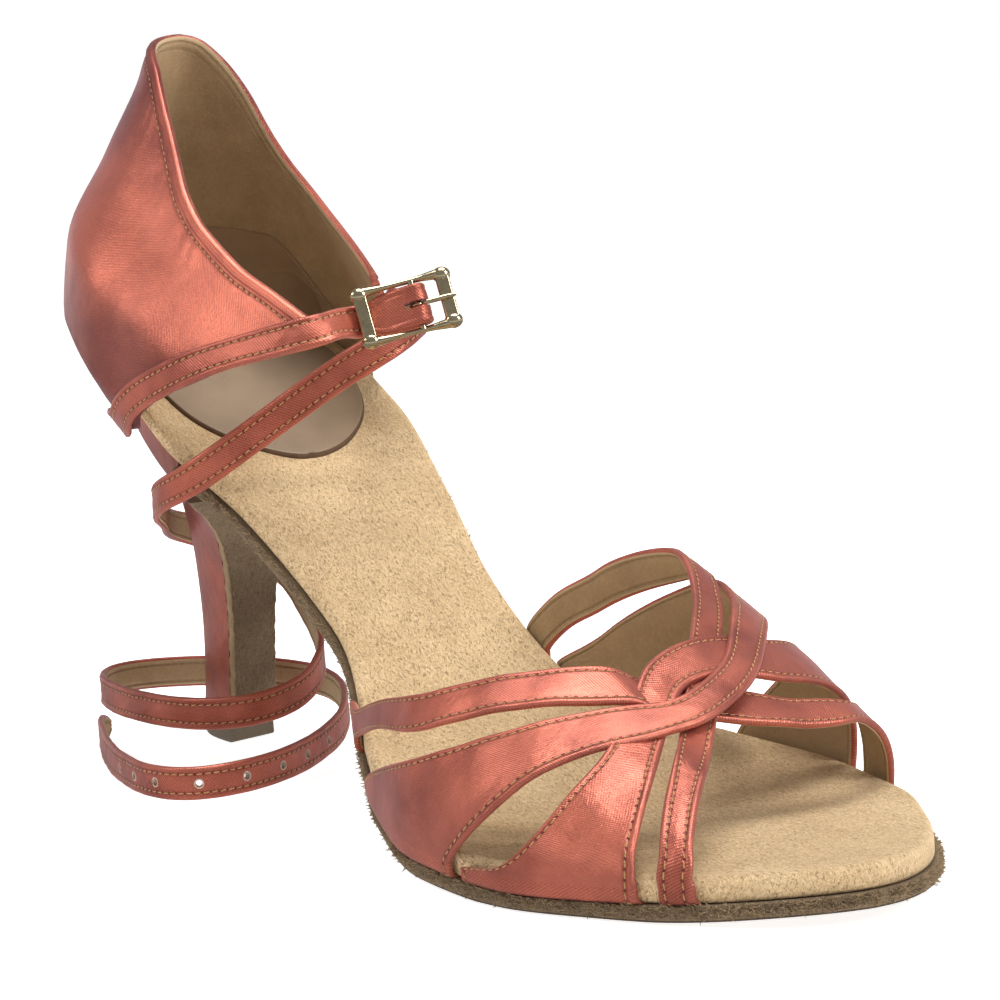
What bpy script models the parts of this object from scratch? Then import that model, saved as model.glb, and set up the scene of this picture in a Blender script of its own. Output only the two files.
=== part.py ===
"""Left latin dance shoe: an open sandal on a tall flared heel, with crossed toe straps.

Lengths in the tables are millimetres. The shoe's frame has +X to the toe, +Y to the
wearer's outer (lateral) side and +Z up, and its origin lies under the heel tip.
"""

import math

import bmesh
import bpy
import numpy as np
from mathutils import Matrix, Vector

MM = 0.001

# Driving sizes
SOLE_LENGTH = 222.0
SOLE_BACK_X = -17.4
CONTACT_GAP = 0.3
SIDE_GAP = 0.5
INSOLE_THICK = 4.0
OUTSOLE_THICK = 2.0
OUTSOLE_OUTSET = 0.8
FLAT_SPOT = 0.4
BREAST_S = 45.5
PLAN_STEPS = 40
SOCK_THICK = 0.8
COUNTER_WALL = 1.6
STRAP_WIDTH = 6.0
STRAP_THICK = 1.3
STRAP_CLEARANCE = 0.95
TURN_IN_STEPS = 5
VAMP_THICK = 1.3
TIP_HEIGHT = 4.0
BREAST_THICK = 1.4

STACK = INSOLE_THICK + CONTACT_GAP + OUTSOLE_THICK

# Plan of the insole: distance from the back of the heel, outer and inner half widths
OUTLINE = {
    "s": (0, 7, 20, 40, 65, 90, 115, 135, 155, 175, 193, 207, 218, 222),
    "lateral": (2.0, 18.3, 25.5, 26.5, 21.7, 17.6, 23.3, 34.6, 41.2, 38.9, 30.2, 20.6, 9.7, 0.0),
    "medial": (1.5, 16.5, 22.6, 23.2, 18.9, 16.2, 25.2, 33.6, 38.3, 36.8, 29.5, 20.7, 10.6, 1.5),
}

# Side profile of the last: height of the insole's upper face
PROFILE = {
    "s": (0, 20, 40, 62, 88, 113, 135, 155, 178, 200, 222),
    "z": (79.5, 74.0, 63.5, 51.8, 34.0, 16.0, 10.9, 7.8, 6.5, 6.7, 8.6),
}

# Foot form above the toes, on which the vamp straps lie
DOME = {
    "x": (75, 95, 115, 135, 155, 175, 195),
    "rise": (50.5, 50.3, 44.6, 34.0, 23.5, 13.3, 6.6),
    "shift": (5.1, 3.5, 1.7, -1.0, -2.1, -1.7, -1.0),
}
DOME_POWER = 0.9
DOME_SETBACK = 1.5
EDGE_DEGREES = 1.5

# Back of the foot: half widths and the back's place at heights above the seat
COUNTER = {
    "h": (-2, 6, 12, 25, 40, 56, 68),
    "medial": (25.1, 31.0, 33.6, 32.2, 23.4, 15.0, 11.5),
    "lateral": (29.0, 29.3, 26.6, 21.6, 15.6, 11.8, 10.0),
    "back": (-1.9, -3.6, -4.2, -4.0, 0.5, 8.5, 15.0),
    "round": (0.60, 0.75, 0.86, 0.96, 1.0, 1.0, 1.0),
}
COUNTER_TURN_S = 34.0
COUNTER_FRONT_S = {"medial": 84.0, "lateral": 57.0}
COUNTER_FRONT_Q = {"medial": 0.97, "lateral": 0.93}
SEAT_RISE = 3.0

# Upper and lower edge of the counter, from the front of each side (1) to the heel (0)
COLLAR = {
    "medial": {
        "q": (0, 0.2, 0.38, 0.44, 0.5, 0.56, 0.62, 0.7, 0.8, 0.89, 1.0),
        "top": (61.5, 61.4, 60.6, 58.8, 56.0, 52.2, 48.4, 45.9, 45.2, 46.5, 48.4),
        "low": (-1.0, -1.0, -1.0, -1.0, 0.0, 3.0, 8.5, 16.5, 25.5, 35.0, 45.5),
    },
    "lateral": {
        "q": (0, 0.1, 0.22, 0.33, 0.37, 0.43, 0.5, 0.64, 0.8, 1.0),
        "top": (61.5, 60.8, 57.6, 51.0, 46.0, 41.0, 39.4, 38.5, 37.4, 34.6),
        "low": (-1.0, -1.0, -1.0, -1.0, -1.0, 2.0, 7.0, 14.5, 22.0, 29.5),
    },
}

# Vamp straps from the inner to the outer seat: rear and front edge on the foot form
STRAPS = {
    "rear_outer_pair": {
        "dip": 2.7,
        "knot": (66.0, 80.0, 118.0, 142.0),
        "rear_x": (86, 104, 120, 133, 144, 151, 155, 157.5, 157, 149, 144),
        "rear_deg": (0, 10, 21, 35, 57, 79, 94, 118, 139, 156, 180),
        "front_x": (94, 114, 131, 140, 151, 158, 161, 164.5, 164, 160, 153),
        "front_deg": (0, 11, 22.5, 33, 55, 73, 86, 108, 130, 145, 180),
    },
    "front_outer_pair": {
        "dip": 1.8,
        "knot": (70.0, 84.0, 118.0, 142.0),
        "rear_x": (184.5, 184.3, 181.2, 175.3, 167.5, 159, 147, 128, 115, 97, 86, 78),
        "rear_deg": (0, 18, 40, 60, 77, 89, 102, 122, 136, 154, 167, 180),
        "front_x": (189, 189, 185.8, 178, 167, 158, 145, 127, 116, 100, 89, 83),
        "front_deg": (0, 15, 42, 69, 89, 100, 113, 132, 145, 160, 171, 180),
    },
    "front_wide": {
        "dip": 0.9,
        "knot": (58.0, 74.0, 118.0, 142.0),
        "rear_x": (151, 160.5, 166.8, 166, 159.5, 150.5, 146.5, 145.5, 144, 135, 122, 117),
        "rear_deg": (0, 2.5, 26, 51, 72, 87, 105, 115, 126, 150, 171, 180),
        "front_x": (181.5, 181.6, 179.6, 173, 162.8, 156.5, 154.8, 155, 155, 151, 144, 141),
        "front_deg": (0, 9, 33, 60, 81, 92, 103.5, 110, 119, 142, 167, 180),
    },
    "rear_wide": {
        "dip": 0.0,
        "knot": (38.0, 62.0, 118.0, 142.0),
        "rear_x": (108, 122, 141.5, 152.3, 158.5, 160, 154, 139, 116, 95, 85),
        "rear_deg": (0, 8, 26, 48, 73, 84, 103, 120, 146, 169, 180),
        "front_x": (148, 150.3, 157, 162, 166, 166, 159, 142, 126, 113, 108),
        "front_deg": (0, 4, 20, 48, 73, 85, 107, 128.5, 148, 171, 180),
    },
}
VAMP_STATIONS = 25
VAMP_CELLS = 4

# Heel sections: height at front and back, front and back, half width, squareness
HEEL = {
    "z_front": (4.3, 12, 22, 32, 40, 46.5, 50.5, 52.5),
    "z_back": (4.3, 12, 22, 34, 47, 59, 68, 73.9),
    "front": (6.6, 7.6, 8.8, 10.0, 12.8, 18.0, 24.0, 27.4),
    "back": (-9.4, -8.4, -7.7, -8.4, -10.6, -13.6, -16.2, -18.4),
    "half": (5.3, 5.1, 5.2, 6.0, 8.6, 14.6, 21.0, 24.0),
    "middle": (-1.2, -1.2, -1.2, -1.1, -0.8, 0.2, 1.0, 1.5),
    "skew": (14, 14, 14, 13, 10, 6, 2, 0),
}
HEEL_POINTS = 17

# Heel sock: its two ends, its widest place and the half lengths of its round ends
SOCK_ENDS = (4.0, 54.0)
SOCK_WIDEST = 26.0
SOCK_FRONT_REACH = 28.5
SOCK_BACK_REACH = 22.5
SOCK_MARGIN = 4.5
SOCK_STATIONS = 15
SOCK_EDGE_ROUND = 0.7

# Breast cover: heights of its sections along the heel's breast
BREAST_LEVELS = (4.5, 12, 20, 27, 33, 38, 42, 45.5, 48.0, 50.0)
BREAST_OVERHANG = 0.2
HEEL_LEVELS = (4.3, 12, 20, 27, 33, 38, 42, 45.5, 48.5, 50.8, 52.5)

# Buckle: its bars in the strap's own directions
BUCKLE_CENTRE = (68.9, 6.1, 84.2)
BUCKLE_ALONG = (0.365, 0.912, 0.177)
BUCKLE_UP = (-0.300, -0.058, 0.952)
LEFT_BAR = -9.5
RIGHT_BAR = 5.5
BAR_WIDTH = 2.4
FRAME_THICK = 1.6
BAR_LENGTH = 10.8
RAIL_OFFSET = 4.5
RAIL_WIDTH = 1.2
PIN_RADIUS = 0.6
RAIL_THICK = 1.3
PRONG_WIDTH = 1.1
PRONG_THICK = 0.6
PRONG_PLAY = 0.2
PRONG_WALL = 0.55
PRONG_REST = 0.15
PRONG_OVERHANG = 1.4
NOTCH_ALONG = (-2.6, 4.0)
NOTCH_OUT = (-4.0, 4.0)
NOTCH_PLAY = 0.7
FOLD_RADIUS = 1.6
ROD_SIDES = 16

# Inner strap on the counter, then free over the instep to the buckle
BUCKLE_STRAP_SEAT = {"s": (32.0, 40.0, 51.4, 62.2, 72.6, 80.0), "h": (0.2, 4.9, 16.0, 26.1, 36.2, 43.3)}
BUCKLE_STRAP_FREE = ((66.4, -12.4, 81.4), (64.8, -7.6, 82.0), (62.9, -3.4, 81.8))
BUCKLE_STRAP_FOLD = {
    "along": (-9.5, -6.0, -2.6),
    "out": (-1.9, -1.2, 0.7),
}
BUCKLE_STRAP_RETURN = {"along": (-2.6, -5.0), "out": (-1.9, -2.6)}

# Outer strap on the counter, then free: across the seat, round the heel and down
ANKLE_STRAP_SEAT = {"s": (45.5, 48, 51, 54.5), "h": (20.0, 23.0, 26.5, 30.0)}
ANKLE_STRAP_FREE = (
    (44.5, 20.6, 81.0),
    (50.5, 17.2, 80.4),
    (54.4, 12.0, 78.8),
    (54.0, 6.0, 76.0),
    (48.8, -1.0, 71.3),
    (45.6, -9.0, 66.0),
    (43.2, -18.0, 60.4),
    (39.5, -25.4, 55.3),
    (31.0, -28.0, 51.9),
    (20.5, -24.4, 48.8),
    (9.5, -18.0, 46.0),
    (-2.0, -12.2, 43.2),
    (-12.5, -6.0, 40.6),
    (-16.5, 1.5, 38.0),
    (-12.0, 8.6, 34.4),
    (-3.5, 12.0, 30.8),
    (6.0, 11.0, 26.4),
    (16.5, 8.5, 21.9),
    (26.0, 5.0, 17.6),
    (33.0, -1.5, 14.0),
    (36.5, -10.0, 12.0),
    (35.5, -18.0, 11.2),
    (29.0, -24.0, 11.0),
    (18.0, -26.9, 11.0),
    (4.0, -27.2, 11.0),
    (-8.5, -24.9, 11.1),
    (-17.0, -19.5, 11.0),
    (-20.5, -12.5, 10.8),
    (-18.6, -5.0, 10.6),
    (-13.8, 2.0, 10.4),
    (-6.0, 9.0, 10.0),
    (4.0, 13.2, 9.5),
    (16.0, 12.8, 8.8),
    (28.0, 8.2, 7.2),
    (37.0, 1.5, 5.4),
    (45.0, -8.0, 4.1),
    (51.0, -18.0, 3.5),
    (54.0, -29.0, 3.3),
    (52.0, -37.0, 3.3),
    (44.0, -40.2, 3.3),
    (32.0, -39.2, 3.3),
    (19.0, -36.2, 3.3),
    (5.0, -31.4, 3.3),
    (-9.0, -25.6, 3.3),
    (-12.4, -22.6, 3.3),
)


def smooth(xs, ys, x):
    """Read a monotone cubic curve through a table's columns at x."""
    xs = np.asarray(xs, float)
    ys = np.asarray(ys, float)
    step = np.diff(xs)
    slope = np.diff(ys) / step
    tangent = np.zeros_like(ys)
    tangent[0] = slope[0]
    tangent[-1] = slope[-1]
    for i in range(1, len(ys) - 1):
        if slope[i - 1] * slope[i] > 0:
            before = 2 * step[i] + step[i - 1]
            after = step[i] + 2 * step[i - 1]
            tangent[i] = (before + after) / (before / slope[i - 1] + after / slope[i])
    i = int(np.clip(np.searchsorted(xs, x) - 1, 0, len(step) - 1))
    t = (x - xs[i]) / step[i]
    keep = (2 * t**3 - 3 * t**2 + 1) * ys[i] + (t**3 - 2 * t**2 + t) * step[i] * tangent[i]
    gain = (3 * t**2 - 2 * t**3) * ys[i + 1] + (t**3 - t**2) * step[i] * tangent[i + 1]
    return float(keep + gain)


def round_end(s):
    """Angle that spreads a table's stations so that both ends of a plan come out round."""
    return math.acos(1 - 2 * min(max(s / SOLE_LENGTH, 0), 1))


def half_width(s, side):
    turns = [round_end(value) for value in OUTLINE["s"]]
    return smooth(turns, OUTLINE[side], round_end(s))


def insole_height(x):
    return smooth(PROFILE["s"], PROFILE["z"], min(max(x - SOLE_BACK_X, 0), SOLE_LENGTH))


def foot_form(x, degrees, lift=0.0):
    """Point on the foot form over the toes, from the inner edge (0) to the outer (180)."""
    s = x - SOLE_BACK_X
    cover = SIDE_GAP + VAMP_THICK
    low = -half_width(s, "medial") - cover
    high = half_width(s, "lateral") + cover
    turn = math.radians(degrees)
    rise = smooth(DOME["x"], DOME["rise"], x) + DOME_SETBACK
    across = (low + high) / 2 - (high - low) / 2 * math.cos(turn)
    shift = smooth(DOME["x"], DOME["shift"], x) * math.sin(turn)
    height = insole_height(x) - DOME_SETBACK + rise * abs(math.sin(turn)) ** DOME_POWER
    point = Vector((x, across + shift, height))
    if lift:
        point += foot_normal(x, degrees) * lift
    return point


def foot_normal(x, degrees):
    """Direction away from the foot; at the very edges of the form it is read just inside them."""
    turn = min(max(degrees, EDGE_DEGREES), 180 - EDGE_DEGREES)
    along = foot_form(x + 0.5, turn) - foot_form(x - 0.5, turn)
    across = foot_form(x, turn + 0.5) - foot_form(x, turn - 0.5)
    normal = along.cross(across).normalized()
    outward = Vector((0, -math.cos(math.radians(turn)), math.sin(math.radians(turn))))
    return normal if normal.dot(outward) > 0 else -normal


def counter_form(side, q, h, cover=0.0):
    """Point round the back of the foot: q is 0 at the heel and 1 at the side's front end."""
    sign = -1 if side == "medial" else 1
    half = smooth(COUNTER["h"], COUNTER[side], h) + cover
    back = smooth(COUNTER["h"], COUNTER["back"], h) - cover
    if q < 0.5:
        turn = math.pi * q
        s = COUNTER_TURN_S - (COUNTER_TURN_S - back) * math.cos(turn)
        across = half * math.sin(turn) ** smooth(COUNTER["h"], COUNTER["round"], h)
    else:
        reach = (q - 0.5) / 0.5 * (COUNTER_FRONT_S[side] - COUNTER_TURN_S)
        s = COUNTER_TURN_S + reach
        across = half - (half - cover) * 0.30 * (reach / 50) ** 1.6
    x = s + SOLE_BACK_X
    return Vector((x, sign * across, insole_height(x) + h - SEAT_RISE))


def new_object(name, mesh, parts):
    item = bpy.data.objects.new(name, mesh)
    parts.objects.link(item)
    return item


def mesh_of(name, points, faces):
    """Closed mesh of points in millimetres, with its faces turned outwards."""
    mesh = bpy.data.meshes.new(name)
    mesh.from_pydata([tuple(Vector(point) * MM) for point in points], [], faces)
    shape = bmesh.new()
    shape.from_mesh(mesh)
    bmesh.ops.recalc_face_normals(shape, faces=shape.faces)
    bmesh.ops.triangulate(shape, faces=[face for face in shape.faces if len(face.verts) > 4])
    shape.to_mesh(mesh)
    shape.free()
    return mesh


def band_faces(rings, count, closed=True):
    """Faces between rings of equally many points, stored one ring after another."""
    faces = []
    for ring in range(rings - 1):
        for i in range(count if closed else count - 1):
            j = (i + 1) % count
            base = ring * count
            faces.append((base + i, base + j, base + count + j, base + count + i))
    return faces


def stacked(name, loops, parts):
    """Plate from loops that run up its edge; both covers join one side to the other."""
    count = len(loops[0])
    faces = band_faces(len(loops), count)
    top = (len(loops) - 1) * count
    for i in range(count // 2 - 1):
        j = count - 1 - i
        faces.append((i, i + 1, j - 1, j))
        faces.append((top + i, top + i + 1, top + j - 1, top + j))
    return new_object(name, mesh_of(name, [p for loop in loops for p in loop], faces), parts)


def lofted(name, rings, parts):
    """Solid through closed rings, with a cover on the first and on the last."""
    count = len(rings[0])
    faces = band_faces(len(rings), count)
    faces.append(tuple(range(count)))
    last = (len(rings) - 1) * count
    faces.append(tuple(last + i for i in range(count)))
    return new_object(name, mesh_of(name, [p for ring in rings for p in ring], faces), parts)


def walled(name, outer, inner, parts):
    """Solid between an outer and an inner sheet, each a list of equally long columns."""
    rows = len(outer[0])
    columns = len(outer)
    faces = band_faces(columns, rows, closed=False)
    offset = rows * columns
    faces += [tuple(offset + i for i in face) for face in faces]
    rim = list(range(rows))
    rim += [i * rows + rows - 1 for i in range(1, columns)]
    rim += [(columns - 1) * rows + i for i in range(rows - 2, -1, -1)]
    rim += [i * rows for i in range(columns - 2, 0, -1)]
    for a, b in zip(rim, rim[1:] + rim[:1]):
        faces.append((a, b, offset + b, offset + a))
    points = [p for column in outer for p in column] + [p for column in inner for p in column]
    return new_object(name, mesh_of(name, points, faces), parts)


def plan_loop(inset, height, first=0.0):
    """Loop round the sole's plan, moved in by inset; height(x) gives its level."""
    start = round_end(first)
    turns = [start] + [math.pi * i / PLAN_STEPS for i in range(1, PLAN_STEPS + 1)]
    turns = [start] + [turn for turn in turns if turn > start + 0.02]
    stations = len(turns)
    loop = []
    for side, sign in (("lateral", 1), ("medial", -1)):
        edge = []
        for turn in turns:
            s = SOLE_LENGTH * (1 - math.cos(turn)) / 2
            edge.append(Vector((s + SOLE_BACK_X, sign * half_width(s, side), 0)))
        moved = []
        for i, point in enumerate(edge):
            run = edge[min(i + 1, stations - 1)] - edge[max(i - 1, 0)]
            inward = Vector((run.y, -run.x, 0)).normalized() * sign
            if i == 0 and first > 0:
                inward = Vector((0, -sign, 0))
            place = point + inward * inset
            moved.append(Vector((place.x, place.y, height(place.x))))
        loop += moved if side == "lateral" else moved[::-1]
    return loop


def below_insole(drop):
    return lambda x: insole_height(x) - drop


def make_insole(parts):
    edge = (
        (1.0, INSOLE_THICK),
        (0.0, INSOLE_THICK - 0.8),
        (0.0, 1.2),
        (0.4, 0.35),
        (1.3, 0.0),
    )
    return stacked("insole", [plan_loop(inset, below_insole(drop)) for inset, drop in edge], parts)


def sole_bottom(x):
    """The forefoot's lowest part is pressed flat on the floor."""
    return max(insole_height(x) - STACK - FLAT_SPOT, 0.0)


def make_outsole(parts):
    top = INSOLE_THICK + CONTACT_GAP
    edge = (
        (0.0, sole_bottom),
        (-OUTSOLE_OUTSET, lambda x: sole_bottom(x) + 0.6),
        (-OUTSOLE_OUTSET, below_insole(top + 0.3)),
        (0.4 - OUTSOLE_OUTSET, below_insole(top)),
    )
    loops = [plan_loop(inset, height, first=BREAST_S) for inset, height in edge]
    return stacked("outsole", loops, parts)


def sock_half_width(s, side):
    """The sock keeps clear of the counter at the back and ends in a round tongue."""
    full = half_width(max(s, 6.0), side) - SOCK_MARGIN
    reach = SOCK_FRONT_REACH if s > SOCK_WIDEST else SOCK_BACK_REACH
    return full * math.sqrt(max(1 - ((s - SOCK_WIDEST) / reach) ** 2, 0))


def make_heel_sock(parts):
    first, last = SOCK_ENDS
    middle = (first + last) / 2
    loops = []
    for inset, rise in (
        (0.0, CONTACT_GAP),
        (0.0, CONTACT_GAP + SOCK_THICK - 0.3),
        (SOCK_EDGE_ROUND, CONTACT_GAP + SOCK_THICK),
    ):
        reach = (last - first) / 2 - inset
        loop = []
        for side, sign in (("lateral", 1), ("medial", -1)):
            edge = []
            for i in range(SOCK_STATIONS):
                s = middle - reach * math.cos(math.pi * i / (SOCK_STATIONS - 1))
                across = max(sock_half_width(s, side) - inset, 0.6)
                x = s + SOLE_BACK_X
                edge.append(Vector((x, sign * across, insole_height(x) + rise)))
            loop += edge if side == "lateral" else edge[::-1]
        loops.append(loop)
    return stacked("heel_sock", loops, parts)


def heel_ring(z_front, z_back, front, back, half, middle, skew):
    """Section of the heel: a flat skewed breast, straight sides and a round back."""
    ring = []
    for i in range(HEEL_POINTS):
        turn = math.pi * i / (HEEL_POINTS - 1)
        side = math.cos(turn)
        depth = abs(math.sin(turn)) ** 0.9
        spread = math.copysign(abs(side) ** 0.85, side) * half
        x = front - (front - back) * depth + math.sin(math.radians(skew)) * spread * (1 - depth)
        z = z_front + (z_back - z_front) * (front - x) / (front - back)
        ring.append(Vector((x, middle - spread, z)))
    return ring


def heel_row(z):
    """The heel's table read at a height of its front."""
    names = ("z_back", "front", "back", "half", "middle", "skew")
    return [smooth(HEEL["z_front"], HEEL[name], z) for name in names]


def make_heel(parts):
    rings = [heel_ring(z, *heel_row(z)) for z in HEEL_LEVELS]
    seat = []
    for point in rings[-1]:
        level = insole_height(point.x) - INSOLE_THICK - CONTACT_GAP
        seat.append(Vector((point.x, point.y, level)))
    return lofted("heel", rings[:-1] + [seat], parts)


def make_heel_tip(parts):
    row = heel_row(TIP_HEIGHT + CONTACT_GAP)
    return lofted("heel_tip", [heel_ring(z, z, *row[1:]) for z in (0.0, TIP_HEIGHT)], parts)


def breast_corners(z):
    ring = heel_ring(z, *heel_row(z))
    return ring[0], ring[-1]


def make_breast_cover(parts):
    """Suede strip down the heel's breast, from under the waist to the tip."""
    rings = []
    for z in BREAST_LEVELS:
        near, far = breast_corners(z)
        above = sum(breast_corners(z + 0.2), Vector())
        below = sum(breast_corners(z - 0.2), Vector())
        out = (far - near).cross(above - below).normalized()
        edge = (far - near).normalized() * BREAST_OVERHANG
        rings.append([
            near + edge + out * CONTACT_GAP,
            near + edge + out * (CONTACT_GAP + BREAST_THICK),
            far - edge + out * (CONTACT_GAP + BREAST_THICK),
            far - edge + out * CONTACT_GAP,
        ])
    return lofted("heel_breast_cover", rings, parts)


def collar_limit(side, q, name):
    return smooth(COLLAR[side]["q"], COLLAR[side][name], q)


def make_heel_counter(parts):
    """Closed back of the upper, one wall from the inner front end round to the outer."""
    inner_reach = COUNTER_FRONT_Q["medial"] - 0.5
    outer_reach = COUNTER_FRONT_Q["lateral"] - 0.5
    stations = [("medial", 0.5 + inner_reach * (1 - i / 9)) for i in range(9)]
    stations += [("medial", 0.5 - 0.5 * i / 7) for i in range(7)]
    stations += [("lateral", 0.5 * i / 7) for i in range(7)]
    stations += [("lateral", 0.5 + outer_reach * i / 6) for i in range(7)]
    rows = 9
    outer = []
    inner = []
    for side, q in stations:
        low = collar_limit(side, q, "low")
        top = collar_limit(side, q, "top")
        heights = [low + (top - low) * i / (rows - 1) for i in range(rows)]
        outer.append([counter_form(side, q, h) for h in heights])
        inner.append([counter_form(side, q, h, -COUNTER_WALL) for h in heights])
    return walled("heel_counter", outer, inner, parts)


def knot_share(strap, degrees):
    """How much of a strap's dip applies: all of it inside the knot, none far from it."""
    rise_start, rise_end, fall_start, fall_end = strap["knot"]
    if degrees < fall_start:
        t = (degrees - rise_start) / (rise_end - rise_start)
    else:
        t = (fall_end - degrees) / (fall_end - fall_start)
    t = min(max(t, 0), 1)
    return t * t * (3 - 2 * t)


def strap_column(strap, t, lift):
    """Points across a strap at t of its run, lift away from the foot form."""
    steps = np.linspace(0, 1, len(strap["rear_x"]))
    rear = (smooth(steps, strap["rear_x"], t), smooth(steps, strap["rear_deg"], t))
    front = (smooth(steps, strap["front_x"], t), smooth(steps, strap["front_deg"], t))
    column = []
    for i in range(VAMP_CELLS + 1):
        share = i / VAMP_CELLS
        x = rear[0] + (front[0] - rear[0]) * share
        degrees = rear[1] + (front[1] - rear[1]) * share
        column.append(foot_form(x, degrees, lift - strap["dip"] * knot_share(strap, degrees)))
    return column


def seat_column(strap, t, drop, inset):
    """Points across a strap's end, straight down beside the insole's edge."""
    column = []
    for point in strap_column(strap, t, 0.0):
        inward = inset if point.y < 0 else -inset
        column.append(Vector((point.x, point.y + inward, insole_height(point.x) - drop)))
    return column


def make_vamp_straps(parts, cutters):
    """The four toe straps, joined to one piece where they cross."""
    pieces = []
    seat_drop = INSOLE_THICK - CONTACT_GAP
    for name, strap in STRAPS.items():
        outer = []
        inner = []
        for t, drops in ((0.0, (seat_drop, 2.6)), (1.0, (2.6, seat_drop))):
            if t == 1.0:
                for i in range(1, VAMP_STATIONS - 1):
                    place = i / (VAMP_STATIONS - 1)
                    outer.append(strap_column(strap, place, 0.0))
                    inner.append(strap_column(strap, place, -VAMP_THICK))
            for drop in drops:
                outer.append(seat_column(strap, t, drop, 0.0))
                inner.append(seat_column(strap, t, drop, VAMP_THICK))
        pieces.append(walled(name, outer, inner, cutters))
    whole = pieces[0]
    for other in pieces[1:]:
        join(whole, other, "UNION")
    whole.name = "vamp_straps"
    whole.data.name = "vamp_straps"
    cutters.objects.unlink(whole)
    parts.objects.link(whole)
    return whole


def join(item, other, operation):
    """Apply an exact Boolean to item and remove the other object."""
    step = item.modifiers.new(operation.lower(), "BOOLEAN")
    step.operation = operation
    step.object = other
    step.solver = "EXACT"
    bpy.context.view_layer.update()
    result = bpy.data.meshes.new_from_object(item.evaluated_get(bpy.context.evaluated_depsgraph_get()))
    item.modifiers.clear()
    item.data = result
    bpy.data.objects.remove(other)


def through(points, spacing):
    """Evenly spaced points on a smooth curve through the given ones."""
    points = [Vector(p) for p in points]
    ends = [points[0] * 2 - points[1]] + points + [points[-1] * 2 - points[-2]]
    fine = []
    for i in range(1, len(ends) - 2):
        a, b, c, d = ends[i - 1 : i + 3]
        for k in range(12):
            t = k / 12
            bend = a * 2 - b * 5 + c * 4 - d
            twist = b * 3 - a - c * 3 + d
            fine.append((b * 2 + (c - a) * t + bend * t**2 + twist * t**3) / 2)
    fine.append(points[-1])
    lengths = [0.0]
    for a, b in zip(fine, fine[1:]):
        lengths.append(lengths[-1] + (b - a).length)
    count = max(int(round(lengths[-1] / spacing)), 2)
    out = []
    k = 0
    for i in range(count + 1):
        want = lengths[-1] * i / count
        while k < len(lengths) - 2 and lengths[k + 1] < want:
            k += 1
        share = (want - lengths[k]) / max(lengths[k + 1] - lengths[k], 1e-9)
        out.append(fine[k].lerp(fine[k + 1], min(share, 1.0)))
    return out


def ribbon(name, path, normals, width, parts):
    """Flat strap along a path; normals point away from its lining."""
    outer = []
    inner = []
    for i, point in enumerate(path):
        run = path[min(i + 1, len(path) - 1)] - path[max(i - 1, 0)]
        across = normals[i].cross(run).normalized()
        out = run.cross(across).normalized()
        face = point + out * STRAP_THICK / 2
        back = point - out * STRAP_THICK / 2
        outer.append([face + across * width * k / 2 for k in (-1, 0, 1)])
        inner.append([back + across * width * k / 2 for k in (-1, 0, 1)])
    return walled(name, outer, inner, parts)


def seated_path(side, table, spacing):
    """Strap's middle line and outward normals where it lies on the counter."""
    cover = STRAP_CLEARANCE + STRAP_THICK / 2
    stops = np.linspace(table["s"][0], table["s"][-1], int((table["s"][-1] - table["s"][0]) / spacing) + 1)
    path = []
    normals = []
    span = COUNTER_FRONT_S[side] - COUNTER_TURN_S
    for s in stops:
        h = smooth(table["s"], table["h"], s)
        if s < COUNTER_TURN_S:
            q = math.acos((COUNTER_TURN_S - s) / (COUNTER_TURN_S - smooth(COUNTER["h"], COUNTER["back"], h)))
            q /= math.pi
        else:
            q = 0.5 + 0.5 * (s - COUNTER_TURN_S) / span
        point = counter_form(side, q, h)
        along = counter_form(side, q + 0.01, h) - counter_form(side, q - 0.01, h)
        up = counter_form(side, q, h + 0.5) - counter_form(side, q, h - 0.5)
        normal = along.cross(up).normalized()
        if normal.y * point.y < 0:
            normal = -normal
        path.append(point + normal * cover)
        normals.append(normal)
    return path, normals


def buckle_axes():
    along = Vector(BUCKLE_ALONG).normalized()
    up = (Vector(BUCKLE_UP) - along * Vector(BUCKLE_UP).dot(along)).normalized()
    return along, up, along.cross(up)


def make_buckle_strap(parts, cutters):
    """Inner strap: stitched to the counter, over the instep and round the buckle's pin."""
    along, up, out = buckle_axes()
    centre = Vector(BUCKLE_CENTRE)
    seated, seated_normals = seated_path("medial", BUCKLE_STRAP_SEAT, 3.0)

    def local(u, n):
        return centre + along * u + out * n

    stops = list(seated)
    stops += [Vector(p) for p in BUCKLE_STRAP_FREE]
    stops += [local(u, n) for u, n in zip(BUCKLE_STRAP_FOLD["along"], BUCKLE_STRAP_FOLD["out"])]
    path = through(stops[len(seated) - 2 :], 2.2)
    lead = len(seated) - 2
    path = list(seated[:lead]) + path
    normals = list(seated_normals[:lead])
    free = len(path) - lead
    for i in range(free):
        share = i / (free - 1)
        normals.append(seated_normals[-1].lerp(out, share**0.7).normalized())
    for i in range(7):
        turn = math.pi * i / 6
        path.append(local(FOLD_RADIUS * math.sin(turn), FOLD_RADIUS * math.cos(turn)))
        normals.append((out * math.cos(turn) + along * math.sin(turn)).normalized())
    for u, n in zip(BUCKLE_STRAP_RETURN["along"], BUCKLE_STRAP_RETURN["out"]):
        path.append(local(u, n))
        normals.append(-out)
    strap = ribbon("buckle_strap", path, normals, STRAP_WIDTH, parts)
    notch = local_box("notch", NOTCH_ALONG, NOTCH_OUT, PRONG_WIDTH + NOTCH_PLAY, cutters)
    join(strap, notch, "DIFFERENCE")
    return strap


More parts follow.
